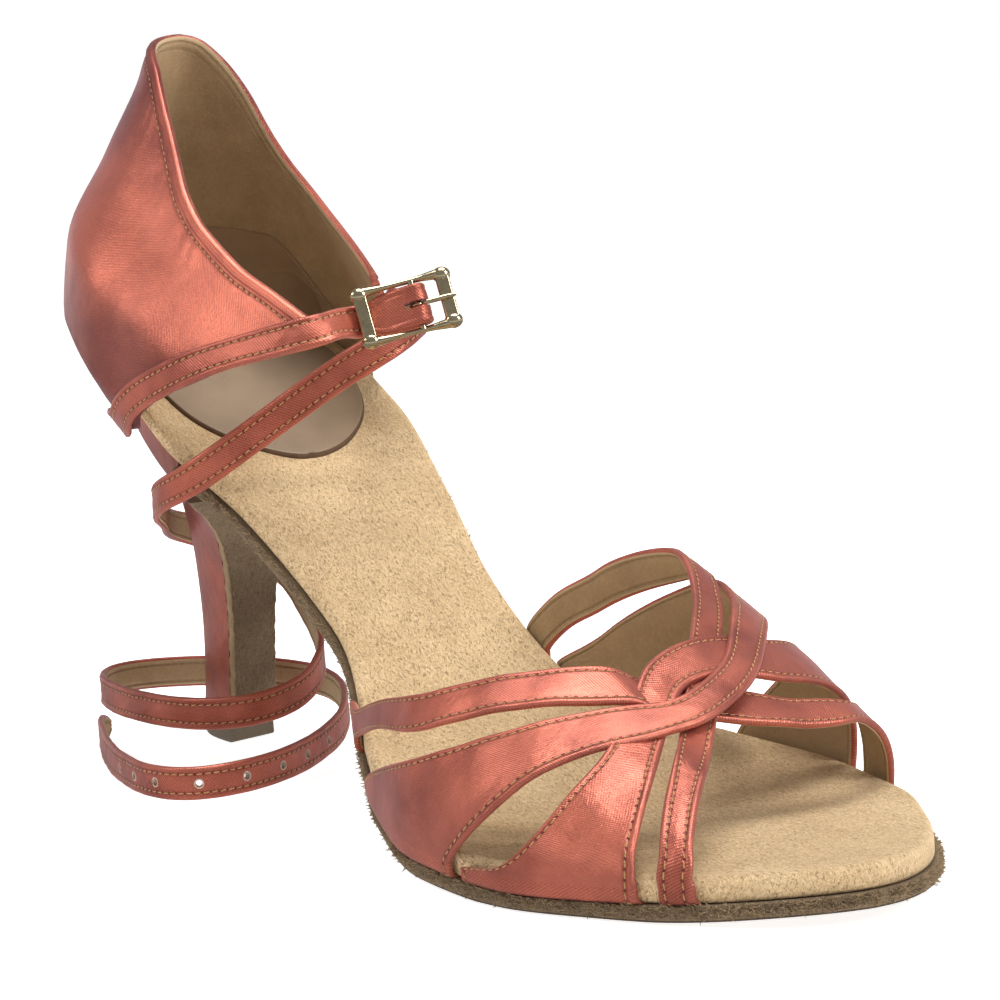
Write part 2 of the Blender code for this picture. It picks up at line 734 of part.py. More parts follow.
def local_box(name, along_range, out_range, width, collection, middle=0.0):
    """Box in the buckle's directions, width across the strap."""
    along, up, out = buckle_axes()
    centre = Vector(BUCKLE_CENTRE)
    points = []
    for u in along_range:
        for v in (middle - width / 2, middle + width / 2):
            for n in out_range:
                points.append(centre + along * u + up * v + out * n)
    faces = [(0, 1, 3, 2), (4, 5, 7, 6), (0, 1, 5, 4), (2, 3, 7, 6), (0, 2, 6, 4), (1, 3, 7, 5)]
    return new_object(name, mesh_of(name, points, faces), collection)


def local_rod(name, radius, length, collection):
    """Rod along the buckle's up direction, centred on its pin."""
    along, up, out = buckle_axes()
    centre = Vector(BUCKLE_CENTRE)
    rings = []
    for v in (-length / 2, length / 2):
        ring = []
        for i in range(ROD_SIDES):
            turn = 2 * math.pi * i / ROD_SIDES
            spoke = along * math.cos(turn) + out * math.sin(turn)
            ring.append(centre + up * v + spoke * radius)
        rings.append(ring)
    return lofted(name, rings, collection)


def make_buckle_frame(parts, cutters):
    """Centre-bar frame: two broad bars, two thin rails and a round pin between them."""
    through_frame = (-FRAME_THICK / 2, FRAME_THICK / 2)
    through_rail = (-RAIL_THICK / 2, RAIL_THICK / 2)
    left = (LEFT_BAR - BAR_WIDTH / 2, LEFT_BAR + BAR_WIDTH / 2)
    right = (RIGHT_BAR - BAR_WIDTH / 2, RIGHT_BAR + BAR_WIDTH / 2)
    frame = local_box("buckle_frame", left, through_frame, BAR_LENGTH, parts)
    join(frame, local_box("right_bar", right, through_frame, BAR_LENGTH, cutters), "UNION")
    for middle in (-RAIL_OFFSET, RAIL_OFFSET):
        rail = local_box("rail", (LEFT_BAR, RIGHT_BAR), through_rail, RAIL_WIDTH, cutters, middle)
        join(frame, rail, "UNION")
    join(frame, local_rod("pin", PIN_RADIUS, 2 * RAIL_OFFSET + 0.4, cutters), "UNION")
    return frame


def make_buckle_prong(parts, cutters):
    """Prong: a loop round the pin and a flat arm that rests on the right bar."""
    prong = local_rod("buckle_prong", PIN_RADIUS + PRONG_PLAY + PRONG_WALL, PRONG_WIDTH, parts)
    rest = FRAME_THICK / 2 + PRONG_REST
    reach = (0.3, RIGHT_BAR + PRONG_OVERHANG)
    arm = local_box("arm", reach, (rest, rest + PRONG_THICK), PRONG_WIDTH - 0.06, cutters)
    join(prong, arm, "UNION")
    join(prong, local_rod("bore", PIN_RADIUS + PRONG_PLAY, PRONG_WIDTH + 2, cutters), "DIFFERENCE")
    return prong


def make_ankle_strap(parts):
    """Outer strap: stitched to the counter, then wound down round the heel to the floor."""
    seated, seated_normals = seated_path("lateral", ANKLE_STRAP_SEAT, 3.0)
    lead = len(seated) - 2
    free = through(list(seated[-2:]) + [Vector(p) for p in ANKLE_STRAP_FREE], 3.0)
    path = list(seated[:lead]) + free
    normals = list(seated_normals[:lead])
    up = Vector((0, 0, 1))
    for i in range(lead, len(path)):
        run = path[min(i + 1, len(path) - 1)] - path[i - 1]
        sideways = up.cross(run).normalized()
        settle = min(max((i - lead - 2) / TURN_IN_STEPS, 0), 1)
        normals.append(seated_normals[-1].lerp(sideways, settle).normalized())
    return ribbon("ankle_strap", path, normals, STRAP_WIDTH, parts)


def material(name, colour, roughness, metallic=0.0):
    item = bpy.data.materials.new(name)
    item.use_nodes = True
    surface = item.node_tree.nodes["Principled BSDF"]
    surface.inputs["Base Color"].default_value = (*colour, 1.0)
    surface.inputs["Roughness"].default_value = roughness
    surface.inputs["Metallic"].default_value = metallic
    return item


def main():
    for item in list(bpy.data.objects):
        bpy.data.objects.remove(item)
    parts = bpy.data.collections.new("latin_dance_shoe")
    cutters = bpy.data.collections.new("cutters")
    bpy.context.scene.collection.children.link(parts)
    bpy.context.scene.collection.children.link(cutters)

    satin = ("satin", (0.55, 0.13, 0.09), 0.35)
    finishes = (
        (make_insole(parts), ("insole_suede", (0.66, 0.47, 0.25), 0.9)),
        (make_outsole(parts), ("sole_suede", (0.16, 0.12, 0.07), 0.95)),
        (make_heel_sock(parts), ("sock_leather", (0.52, 0.40, 0.27), 0.6)),
        (make_heel(parts), satin),
        (make_heel_tip(parts), ("tip_plastic", (0.14, 0.11, 0.08), 0.5)),
        (make_breast_cover(parts), ("sole_suede", (0.16, 0.12, 0.07), 0.95)),
        (make_heel_counter(parts), satin),
        (make_vamp_straps(parts, cutters), satin),
        (make_buckle_strap(parts, cutters), satin),
        (make_ankle_strap(parts), satin),
        (make_buckle_frame(parts, cutters), ("pale_gold", (0.80, 0.68, 0.45), 0.2, 1.0)),
        (make_buckle_prong(parts, cutters), ("pale_gold", (0.80, 0.68, 0.45), 0.2, 1.0)),
    )
    for item, finish in finishes:
        item.data.materials.clear()
        item.data.materials.append(material(item.name + "_" + finish[0], *finish[1:]))


main()
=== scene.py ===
"""Left latin dance shoe in coral satin: its finished surfaces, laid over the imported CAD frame.

Working lengths are millimetres; a mesh gets metres when it is made. +X is the toe, +Y the
wearer's outer side and +Z up.
"""

import math

import bmesh
import bpy
import numpy as np
from mathutils import Matrix, Vector


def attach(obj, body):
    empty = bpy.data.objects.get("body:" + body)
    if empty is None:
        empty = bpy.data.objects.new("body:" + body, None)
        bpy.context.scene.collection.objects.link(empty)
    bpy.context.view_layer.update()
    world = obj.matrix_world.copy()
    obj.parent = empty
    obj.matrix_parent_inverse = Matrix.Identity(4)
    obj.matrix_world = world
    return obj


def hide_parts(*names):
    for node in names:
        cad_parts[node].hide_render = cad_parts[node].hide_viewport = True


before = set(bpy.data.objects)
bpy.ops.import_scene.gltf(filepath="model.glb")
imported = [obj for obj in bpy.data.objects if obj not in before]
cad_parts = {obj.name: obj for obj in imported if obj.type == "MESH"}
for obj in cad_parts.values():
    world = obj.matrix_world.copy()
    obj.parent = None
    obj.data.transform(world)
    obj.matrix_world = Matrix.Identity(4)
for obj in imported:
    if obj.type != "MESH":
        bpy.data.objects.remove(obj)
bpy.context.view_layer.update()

MM = 0.001
WELD = 1e-4

# Sole
SOLE_LENGTH = 222.0
SOLE_BACK_X = -17.4
CONTACT_GAP = 0.3
SIDE_GAP = 0.5
INSOLE_THICK = 4.0
OUTSOLE_OUTSET = 0.8
STACK = 6.3
FLAT_SPOT = 0.4
BREAST_S = 45.5

# Upper
COUNTER_WALL = 1.6
STRAP_WIDTH = 6.0
STRAP_THICK = 1.3
STRAP_CLEARANCE = 0.95
VAMP_THICK = 1.3
TIP_HEIGHT = 4.0
STITCH_PITCH = 1.55
STITCH_LENGTH = 1.15
STITCH_INSET = 1.3
STITCH_SINK = 0.12
THREAD_WIDTH = 0.26

# Cloth maps hold mm times this; a lining's map lies apart from the satin's
MAP_SCALE = 0.01
LINING_APART = 60.0

# Plan of the insole: distance from the back of the heel, outer and inner half widths
OUTLINE = {
    "s": (0, 7, 20, 40, 65, 90, 115, 135, 155, 175, 193, 207, 218, 222),
    "lateral": (2.0, 18.3, 25.5, 26.5, 21.7, 17.6, 23.3, 34.6, 41.2, 38.9, 30.2, 20.6, 9.7, 0.0),
    "medial": (1.5, 16.5, 22.6, 23.2, 18.9, 16.2, 25.2, 33.6, 38.3, 36.8, 29.5, 20.7, 10.6, 1.5),
}

# Side profile of the last: height of the insole's upper face
PROFILE = {
    "s": (0, 20, 40, 62, 88, 113, 135, 155, 178, 200, 222),
    "z": (79.5, 74.0, 63.5, 51.8, 34.0, 16.0, 10.9, 7.8, 6.5, 6.7, 8.6),
}

# Foot form above the toes, on which the vamp straps lie
DOME = {
    "x": (75, 95, 115, 135, 155, 175, 195),
    "rise": (50.5, 50.3, 44.6, 34.0, 23.5, 13.3, 6.6),
    "shift": (5.1, 3.5, 1.7, -1.0, -2.1, -1.7, -1.0),
}
DOME_POWER = 0.9
DOME_SETBACK = 1.5

# Back of the foot: half widths and the back's place at heights above the seat
COUNTER = {
    "h": (-2, 6, 12, 25, 40, 56, 68),
    "medial": (25.1, 31.0, 33.6, 32.2, 23.4, 15.0, 11.5),
    "lateral": (29.0, 29.3, 26.6, 21.6, 15.6, 11.8, 10.0),
    "back": (-1.9, -3.6, -4.2, -4.0, 0.5, 8.5, 15.0),
    "round": (0.60, 0.75, 0.86, 0.96, 1.0, 1.0, 1.0),
}
COUNTER_TURN_S = 34.0
COUNTER_FRONT_S = {"medial": 84.0, "lateral": 57.0}
COUNTER_FRONT_Q = {"medial": 0.97, "lateral": 0.93}
SEAT_RISE = 3.0

# Upper and lower edge of the counter, from the heel (0) to the front of each side (1)
COLLAR = {
    "medial": {
        "q": (0, 0.2, 0.38, 0.44, 0.5, 0.56, 0.62, 0.7, 0.8, 0.89, 1.0),
        "top": (61.5, 61.4, 60.6, 58.8, 56.0, 52.2, 48.4, 45.9, 45.2, 46.5, 48.4),
        "low": (-1.0, -1.0, -1.0, -1.0, 0.0, 3.0, 8.5, 16.5, 25.5, 35.0, 45.5),
    },
    "lateral": {
        "q": (0, 0.1, 0.22, 0.33, 0.37, 0.43, 0.5, 0.64, 0.8, 1.0),
        "top": (61.5, 60.8, 57.6, 51.0, 46.0, 41.0, 39.4, 38.5, 37.4, 34.6),
        "low": (-1.0, -1.0, -1.0, -1.0, -1.0, 2.0, 7.0, 14.5, 22.0, 29.5),
    },
}

# Vamp straps from the inner to the outer seat: rear and front edge on the foot form
VAMP_STRAPS = {
    "rear_outer_pair": {
        "dip": 2.7,
        "knot": (75.0, 86.0, 118.0, 142.0),
        "rear_x": (86, 104, 120, 133, 144, 151, 155, 157.5, 157, 149, 144),
        "rear_deg": (0, 10, 21, 35, 57, 79, 94, 118, 139, 156, 180),
        "front_x": (94, 114, 131, 140, 151, 158, 161, 164.5, 164, 160, 153),
        "front_deg": (0, 11, 22.5, 33, 55, 73, 86, 108, 130, 145, 180),
    },
    "front_outer_pair": {
        "dip": 1.8,
        "knot": (70.0, 84.0, 118.0, 142.0),
        "rear_x": (184.5, 184.3, 181.2, 175.3, 167.5, 159, 147, 128, 115, 97, 86, 78),
        "rear_deg": (0, 18, 40, 60, 77, 89, 102, 122, 136, 154, 167, 180),
        "front_x": (189, 189, 185.8, 178, 167, 158, 145, 127, 116, 100, 89, 83),
        "front_deg": (0, 15, 42, 69, 89, 100, 113, 132, 145, 160, 171, 180),
    },
    "front_wide": {
        "dip": 0.9,
        "knot": (58.0, 74.0, 118.0, 142.0),
        "rear_x": (151, 160.5, 166.8, 166, 159.5, 150.5, 146.5, 145.5, 144, 135, 122, 117),
        "rear_deg": (0, 2.5, 26, 51, 72, 87, 105, 115, 126, 150, 171, 180),
        "front_x": (181.5, 181.6, 179.6, 173, 162.8, 156.5, 154.8, 155, 155, 151, 144, 141),
        "front_deg": (0, 9, 33, 60, 81, 92, 103.5, 110, 119, 142, 167, 180),
    },
    "rear_wide": {
        "dip": 0.0,
        "knot": (38.0, 62.0, 118.0, 142.0),
        "rear_x": (108, 122, 141.5, 152.3, 158.5, 160, 154, 139, 116, 95, 85),
        "rear_deg": (0, 8, 26, 48, 73, 84, 103, 120, 146, 169, 180),
        "front_x": (148, 150.3, 157, 162, 166, 166, 159, 142, 126, 113, 108),
        "front_deg": (0, 4, 20, 48, 73, 85, 107, 128.5, 148, 171, 180),
    },
}

# Heel sections: height at front and back, front and back, half width, squareness
HEEL = {
    "z_front": (4.3, 12, 22, 32, 40, 46.5, 50.5, 52.5),
    "z_back": (4.3, 12, 22, 34, 47, 59, 68, 73.9),
    "front": (6.6, 7.6, 8.8, 10.0, 12.8, 18.0, 24.0, 27.4),
    "back": (-9.4, -8.4, -7.7, -8.4, -10.6, -13.6, -16.2, -18.4),
    "half": (5.3, 5.1, 5.2, 6.0, 8.6, 14.6, 21.0, 24.0),
    "middle": (-1.2, -1.2, -1.2, -1.1, -0.8, 0.2, 1.0, 1.5),
    "skew": (14, 14, 14, 13, 10, 6, 2, 0),
}

# Buckle, its bars in the strap's own directions
BUCKLE_CENTRE = Vector((68.9, 6.1, 84.2))
BUCKLE_ALONG = Vector((0.365, 0.912, 0.177)).normalized()
BUCKLE_UP = Vector((-0.300, -0.058, 0.952))
LEFT_BAR = -9.5
RIGHT_BAR = 5.5
BAR_WIDTH = 2.4
FRAME_THICK = 1.6
BAR_LENGTH = 10.8
RAIL_OFFSET = 4.5
PIN_RADIUS = 0.6
FOLD_RADIUS = 1.6

# Inner strap on the counter, then free over the instep to the buckle
BUCKLE_STRAP_SEAT = {"s": (32.0, 40.0, 51.4, 62.2, 72.6, 80.0), "h": (0.2, 4.9, 16.0, 26.1, 36.2, 43.3)}
BUCKLE_STRAP_FREE = ((66.4, -12.4, 81.4), (64.8, -7.6, 82.0), (62.9, -3.4, 81.8))
BUCKLE_STRAP_FOLD = ((-9.5, -1.9), (-6.0, -1.2), (-2.6, 0.7))
BUCKLE_STRAP_RETURN = ((-2.6, -1.9), (-5.0, -2.6))
SLIT_SIZE = (6.3, 1.1, 8.0)
SLIT_AHEAD = 0.85

# Outer strap on the counter, then free: across the seat, round the heel and down
ANKLE_STRAP_SEAT = {"s": (45.5, 48, 51, 54.5), "h": (20.0, 23.0, 26.5, 30.0)}
ANKLE_STRAP_FREE = (
    (44.5, 20.6, 81.0), (50.5, 17.2, 80.4), (54.4, 12.0, 78.8), (54.0, 6.0, 76.0),
    (48.8, -1.0, 71.3), (45.6, -9.0, 66.0), (43.2, -18.0, 60.4), (39.5, -25.4, 55.3),
    (31.0, -28.0, 51.9), (20.5, -24.4, 48.8), (9.5, -18.0, 46.0), (-2.0, -12.2, 43.2),
    (-12.5, -6.0, 40.6), (-16.5, 1.5, 38.0), (-12.0, 8.6, 34.4), (-3.5, 12.0, 30.8),
    (6.0, 11.0, 26.4), (16.5, 8.5, 21.9), (26.0, 5.0, 17.6), (33.0, -1.5, 14.0),
    (36.5, -10.0, 12.0), (35.5, -18.0, 11.2), (29.0, -24.0, 11.0), (18.0, -26.9, 11.0),
    (4.0, -27.2, 11.0), (-8.5, -24.9, 11.1), (-17.0, -19.5, 11.0), (-20.5, -12.5, 10.8),
    (-18.6, -5.0, 10.6), (-13.8, 2.0, 10.4), (-6.0, 9.0, 10.0), (4.0, 13.2, 9.5),
    (16.0, 12.8, 8.8), (28.0, 8.2, 7.2), (37.0, 1.5, 5.4), (45.0, -8.0, 4.1),
    (51.0, -18.0, 3.5), (54.0, -29.0, 3.3), (52.0, -37.0, 3.3), (44.0, -40.2, 3.3),
    (32.0, -39.2, 3.3), (19.0, -36.2, 3.3), (5.0, -31.4, 3.3), (-9.0, -25.6, 3.3),
    (-12.4, -22.6, 3.3),
)
PUNCH_COUNT = 8
PUNCH_FIRST = 45.3
PUNCH_SPACING = 8.6
PUNCH_RADIUS = 0.62
RIM_RADIUS = 0.78
RIM_THICK = 0.14


# ---------------------------------------------------------------- form of the last


def curve(xs, ys, x):
    """Read a monotone cubic curve through a table's columns at every x."""
    xs = np.asarray(xs, float)
    ys = np.asarray(ys, float)
    x = np.asarray(x, float)
    step = np.diff(xs)
    slope = np.diff(ys) / step
    tangent = np.zeros_like(ys)
    tangent[0] = slope[0]
    tangent[-1] = slope[-1]
    before = 2 * step[1:] + step[:-1]
    after = step[1:] + 2 * step[:-1]
    same_way = slope[:-1] * slope[1:] > 0
    safe_a = np.where(same_way, slope[:-1], 1.0)
    safe_b = np.where(same_way, slope[1:], 1.0)
    tangent[1:-1] = np.where(same_way, (before + after) / (before / safe_a + after / safe_b), 0.0)
    i = np.clip(np.searchsorted(xs, x) - 1, 0, len(step) - 1)
    t = (x - xs[i]) / step[i]
    keep = (2 * t**3 - 3 * t**2 + 1) * ys[i] + (t**3 - 2 * t**2 + t) * step[i] * tangent[i]
    gain = (3 * t**2 - 2 * t**3) * ys[i + 1] + (t**3 - t**2) * step[i] * tangent[i + 1]
    return keep + gain


def soft_step(low, high, x):
    """Smooth rise from 0 at low to 1 at high."""
    t = np.clip((np.asarray(x, float) - low) / (high - low), 0, 1)
    return t * t * (3 - 2 * t)


def bump_at(x, centre, spread):
    """Smooth hump with its height of 1 at the centre."""
    return np.exp(-(((np.asarray(x, float) - centre) / spread) ** 2))


def unit(v):
    return v / np.maximum(np.linalg.norm(v, axis=-1, keepdims=True), 1e-12)


def points(*columns):
    """Points from their x, y and z, each a number or an array."""
    return np.stack(np.broadcast_arrays(*columns), axis=-1).astype(float)


def round_end(s):
    """Turn along the sole's length that keeps its two ends round."""
    return np.arccos(1 - 2 * np.clip(np.asarray(s, float) / SOLE_LENGTH, 0, 1))


def half_width(s, side):
    """Half width of the insole on a side, at distances from the back of the heel."""
    return curve(round_end(OUTLINE["s"]), OUTLINE[side], round_end(s))


def insole_height(x):
    """Height of the insole's upper face."""
    return curve(PROFILE["s"], PROFILE["z"], np.clip(np.asarray(x, float) - SOLE_BACK_X, 0, SOLE_LENGTH))


def foot_form(x, degrees):
    """Points on the foot form over the toes, from the inner edge (0) to the outer (180)."""
    s = x - SOLE_BACK_X
    cover = SIDE_GAP + VAMP_THICK
    low = -half_width(s, "medial") - cover
    high = half_width(s, "lateral") + cover
    turn = np.radians(degrees)
    rise = curve(DOME["x"], DOME["rise"], x) + DOME_SETBACK
    across = (low + high) / 2 - (high - low) / 2 * np.cos(turn)
    shift = curve(DOME["x"], DOME["shift"], x) * np.sin(turn)
    height = insole_height(x) - DOME_SETBACK + rise * np.abs(np.sin(turn)) ** DOME_POWER
    return points(x, across + shift, height)


def foot_normal(x, degrees):
    """Directions away from the foot; at the form's very edges they are read just inside them."""
    turn = np.clip(degrees, 2.5, 177.5)
    along = foot_form(x + 0.5, turn) - foot_form(x - 0.5, turn)
    across = foot_form(x, turn + 0.5) - foot_form(x, turn - 0.5)
    normal = unit(np.cross(along, across))
    outward = points(0 * turn, -np.cos(np.radians(turn)), np.sin(np.radians(turn)))
    inverted = np.sum(normal * outward, axis=-1, keepdims=True) < 0
    return normal * np.where(inverted, -1.0, 1.0)


def counter_form(side, q, h, cover=0.0):
    """Points round the back of the foot: q is 0 at the heel and 1 at the side's front end."""
    sign = -1 if side == "medial" else 1
    q = np.asarray(q, float)
    half = curve(COUNTER["h"], COUNTER[side], h) + cover
    back = curve(COUNTER["h"], COUNTER["back"], h) - cover
    turn = math.pi * np.clip(q, 0, 0.5)
    s_round = COUNTER_TURN_S - (COUNTER_TURN_S - back) * np.cos(turn)
    across_round = half * np.sin(turn) ** curve(COUNTER["h"], COUNTER["round"], h)
    reach = np.clip(q - 0.5, 0, 1) / 0.5 * (COUNTER_FRONT_S[side] - COUNTER_TURN_S)
    across_side = half - (half - cover) * 0.30 * (reach / 50) ** 1.6
    s = np.where(q < 0.5, s_round, COUNTER_TURN_S + reach)
    across = np.where(q < 0.5, across_round, across_side)
    x = s + SOLE_BACK_X
    return points(x, sign * across, insole_height(x) + h - SEAT_RISE)


# ---------------------------------------------------------------- meshes


def sheet(u_steps, v_steps, place, cloth, paint=None):
    """Grid with its points at place(i, j) in mm, the maps of cloth(i, j) on its corners.

    i and j are the stations and rows of the points. paint(j) picks a face's material by its row.
    """
    shape = bmesh.new()
    bmesh.ops.create_grid(shape, x_segments=u_steps, y_segments=v_steps, size=0.5)
    shape.verts.index_update()
    co = np.array([vert.co[:] for vert in shape.verts])
    span = co.max(0) - co.min(0)
    i = np.rint((co[:, 0] - co[:, 0].min()) / span[0] * u_steps).astype(int)
    j = np.rint((co[:, 1] - co[:, 1].min()) / span[1] * v_steps).astype(int)
    maps = cloth(i, j)
    shape.verts.ensure_lookup_table()
    layers = {name: shape.loops.layers.uv.new(name) for name in maps}
    for face in shape.faces:
        if paint:
            face.material_index = paint(int(min(j[vert.index] for vert in face.verts)))
        for loop in face.loops:
            for name, layer in layers.items():
                loop[layer].uv = maps[name][loop.vert.index]
    for vert, spot in zip(shape.verts, place(i, j)):
        vert.co = Vector(spot)
    bmesh.ops.remove_doubles(shape, verts=shape.verts, dist=WELD)
    return shape


def close_ends(shape):
    """Cover every open border with flat faces in the piece's first finish."""
    open_edges = [edge for edge in shape.edges if edge.is_boundary]
    made = bmesh.ops.holes_fill(shape, edges=open_edges, sides=0)["faces"]
    for face in made:
        face.material_index = 0
    bmesh.ops.triangulate(shape, faces=made)


def add_object(name, shape, materials):
    """Make an object of a millimetre bmesh, its faces turned outwards."""
    bmesh.ops.recalc_face_normals(shape, faces=shape.faces)
    bmesh.ops.scale(shape, vec=(MM, MM, MM), verts=shape.verts)
    mesh = bpy.data.meshes.new(name)
    shape.to_mesh(mesh)
    shape.free()
    for finish in materials:
        mesh.materials.append(finish)
    made = bpy.data.objects.new(name, mesh)
    bpy.context.scene.collection.objects.link(made)
    return made


def finish_piece(name, shape, materials, node=None, sharp=60.0, body="shoe"):
    """Turn a millimetre bmesh into a smooth finished piece that rides on a body of the frame."""
    for face in shape.faces:
        face.smooth = True
    piece = add_object(name, shape, materials)
    piece.data.set_sharp_from_angle(angle=math.radians(sharp))
    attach(piece, body)
    if node:
        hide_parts(node)
    return piece


def lengths_along(path):
    """Distance run along a path at each of its points."""
    runs = np.linalg.norm(np.diff(path, axis=0), axis=1)
    return np.concatenate([[0.0], np.cumsum(runs)])


def through(stops, spacing):
    """Evenly spaced points on a smooth curve through the given ones."""
    stops = np.asarray([tuple(stop) for stop in stops], float)
    ends = np.vstack([stops[0] * 2 - stops[1], stops, stops[-1] * 2 - stops[-2]])
    fine = []
    for a, b, c, d in zip(ends, ends[1:], ends[2:], ends[3:]):
        square = a * 2 - b * 5 + c * 4 - d
        cube = b * 3 - a - c * 3 + d
        for k in range(12):
            t = k / 12
            fine.append((b * 2 + (c - a) * t + square * t**2 + cube * t**3) / 2)
    fine.append(stops[-1])
    return spaced(np.array(fine), spacing)


def spaced(path, spacing):
    """The same path with its points evenly spaced."""
    run = lengths_along(path)
    count = max(int(round(run[-1] / spacing)), 2)
    want = np.linspace(0, run[-1], count + 1)
    return np.stack([np.interp(want, run, path[:, k]) for k in range(path.shape[1])], axis=1)


def soften(path, rounds):
    """Even out a row of points or directions, keeping its two ends."""
    path = path.copy()
    for _ in range(rounds):
        path[1:-1] = path[1:-1] * 0.5 + (path[:-2] + path[2:]) * 0.25
    return path


# ---------------------------------------------------------------- stitches


def repeat(shape, count):
    """Copy everything in shape until it holds count copies, one after another."""
    parts = [(items, len(items)) for items in (shape.verts, shape.edges, shape.faces)]
    made = 1
    while made < count:
        extra = min(made, count - made)
        chosen = []
        for items, single in parts:
            items.ensure_lookup_table()
            chosen += items[: extra * single]
        bmesh.ops.duplicate(shape, geom=chosen)
        made += extra


def spindles(places, around, along):
    """Small spindles, one for each place: its three half axes and its centre."""
    shape = bmesh.new()
    bmesh.ops.create_uvsphere(shape, u_segments=around, v_segments=along, radius=1.0)
    single = bpy.data.meshes.new("single_spindle")
    shape.to_mesh(single)
    shape.free()
    shape = bmesh.new()
    shape.from_mesh(single)
    bpy.data.meshes.remove(single)
    spindle = np.array([vert.co[:] for vert in shape.verts])
    repeat(shape, len(places))
    moved = np.concatenate([spindle @ axes + centre for axes, centre in places])
    for vert, place in zip(shape.verts, moved):
        vert.co = Vector(place)
    return shape


def sew(name, rows, finish):
    """Rows of single stitches, each a small spindle half sunk in the cloth.

    A row is its points on the cloth and the cloth's outward normals.
    """
    draw = np.random.default_rng(7)
    places = []
    for path, normals in rows:
        run = lengths_along(path)
        for k in range(int(run[-1] / STITCH_PITCH)):
            middle = (k + 0.5) * STITCH_PITCH
            start, centre, end = [
                np.array([np.interp(at, run, path[:, axis]) for axis in range(3)])
                for at in (middle - STITCH_LENGTH / 2, middle, middle + STITCH_LENGTH / 2)
            ]
            normal = unit(np.array([np.interp(middle, run, normals[:, axis]) for axis in range(3)]))
            along = unit(end - start)
            across = unit(np.cross(normal, along))
            lean = math.radians(7.0 + 4.0 * draw.standard_normal())
            along = unit(along * math.cos(lean) + across * math.sin(lean))
            across = unit(np.cross(normal, along))
            up = np.cross(along, across)
            size = STITCH_LENGTH * (1.0 + 0.05 * draw.standard_normal())
            axes = np.stack([across * THREAD_WIDTH / 2, up * THREAD_WIDTH * 0.42, along * size / 2], axis=0)
            places.append((axes, centre + up * 0.02))
    finish_piece(name, spindles(places, 6, 5), [finish], sharp=80)


# ---------------------------------------------------------------- straps

# Distances of the mesh's rows from a strap's edge, on its satin and its lining
EDGE = np.array([0.0, 0.05, 0.16, 0.32, 0.50, 0.72, 0.95, 1.12, 1.30, 1.48, 1.70, 2.05])
LINING_EDGE = np.array([0.16, 0.34, 0.50, 0.58, 0.66, 0.90, 1.12, 1.30, 1.48, 1.75])
CORE = np.linspace(0, 1, 9)[1:-1]


def strap_section(thick):
    """Rows round a strap: share of its width, distance added, height, lining or not, edge distance."""
    half = thick / 2

    def bead(d):
        inside = np.clip(1 - d / half, 0, 1)
        return half * np.sqrt(np.clip(1 - inside**2, 0, 1))

    rows = []
    face = bead(EDGE) - 0.07 * soft_step(0.65, 1.05, EDGE) - 0.10 * bump_at(EDGE, STITCH_INSET, 0.17)
    for d, n in zip(EDGE, face):
        rows.append((0.0, d, n, 0, d))
    last = EDGE[-1]
    for f in CORE:
        rows.append((f, last - 2 * last * f, half - 0.07 + 0.05 * math.sin(math.pi * f), 0, last + 1))
    for d, n in zip(EDGE[::-1], face[::-1]):
        rows.append((1.0, -d, n, 0, d))
    under = -bead(LINING_EDGE) + 0.10 * bump_at(LINING_EDGE, STITCH_INSET, 0.17)
    under += np.where(LINING_EDGE < 0.54, 0.10, -0.02)
    for d, n in zip(LINING_EDGE, under):
        rows.append((1.0, -d, n, int(d > 0.54), d))
    last = LINING_EDGE[-1]
    for f in CORE[::-1]:
        rows.append((f, last - 2 * last * f, -half - 0.02, 1, last + 1))
    for d, n in zip(LINING_EDGE[::-1], under[::-1]):
        rows.append((0.0, d, n, int(d > 0.54), d))
    rows.append(rows[0])
    return np.array(rows)


def strap_sheet(place_at, widths, lines, thick, sewn):
    """Closed strap: place_at(i, across in mm from its rear edge, height) gives points.

    lines are its two rows of stitches; past the station sewn it has no stitch furrows and no painted stitch
    shade.
    """
    run_rear, run_front = (lengths_along(line) for line, _ in lines)
    section = strap_section(thick)
    share, added, height, lining, edge = section.T

    def across(i, j):
        return widths[i] * share[j] + added[j]

    def place(i, j):
        return place_at(i, across(i, j), height[j])

    def cloth(i, j):
        a = across(i, j)
        mean_run = (run_rear[i] + run_front[i]) / 2
        row_run = np.where(a < widths[i] / 2, run_rear[i], run_front[i])
        from_edge = np.where((edge[j] > 2.6) | (i > sewn), 5.0, edge[j])
        return {
            "cloth": np.stack([mean_run, a + np.where(lining[j] > 0, LINING_APART, 0.0)], axis=1) * MAP_SCALE,
            "seam": np.stack([row_run, from_edge], axis=1) * MAP_SCALE,
        }

    def paint(j):
        return int(max(lining[j], lining[j + 1]) > 0 and min(edge[j], edge[j + 1]) > 0.25)

    shape = sheet(len(widths) - 1, len(section) - 1, place, cloth, paint)
    close_ends(shape)
    return shape


def knot_share(strap, degrees):
    """How far a strap has sunk into the knot: all the way inside it, not at all far from it."""
    rise_start, rise_end, fall_start, fall_end = strap["knot"]
    return soft_step(rise_start, rise_end, degrees) * (1 - soft_step(fall_start, fall_end, degrees))


# Ends of a toe strap, below the insole's upper face: their drop and how far in they lie
VAMP_STATIONS = 171
TUCK = {"drop": (2.1, 2.6, 3.1, 3.5, 3.85, 4.1), "inward": (0.0, 0.0, 0.08, 0.30, 0.75, 1.5)}


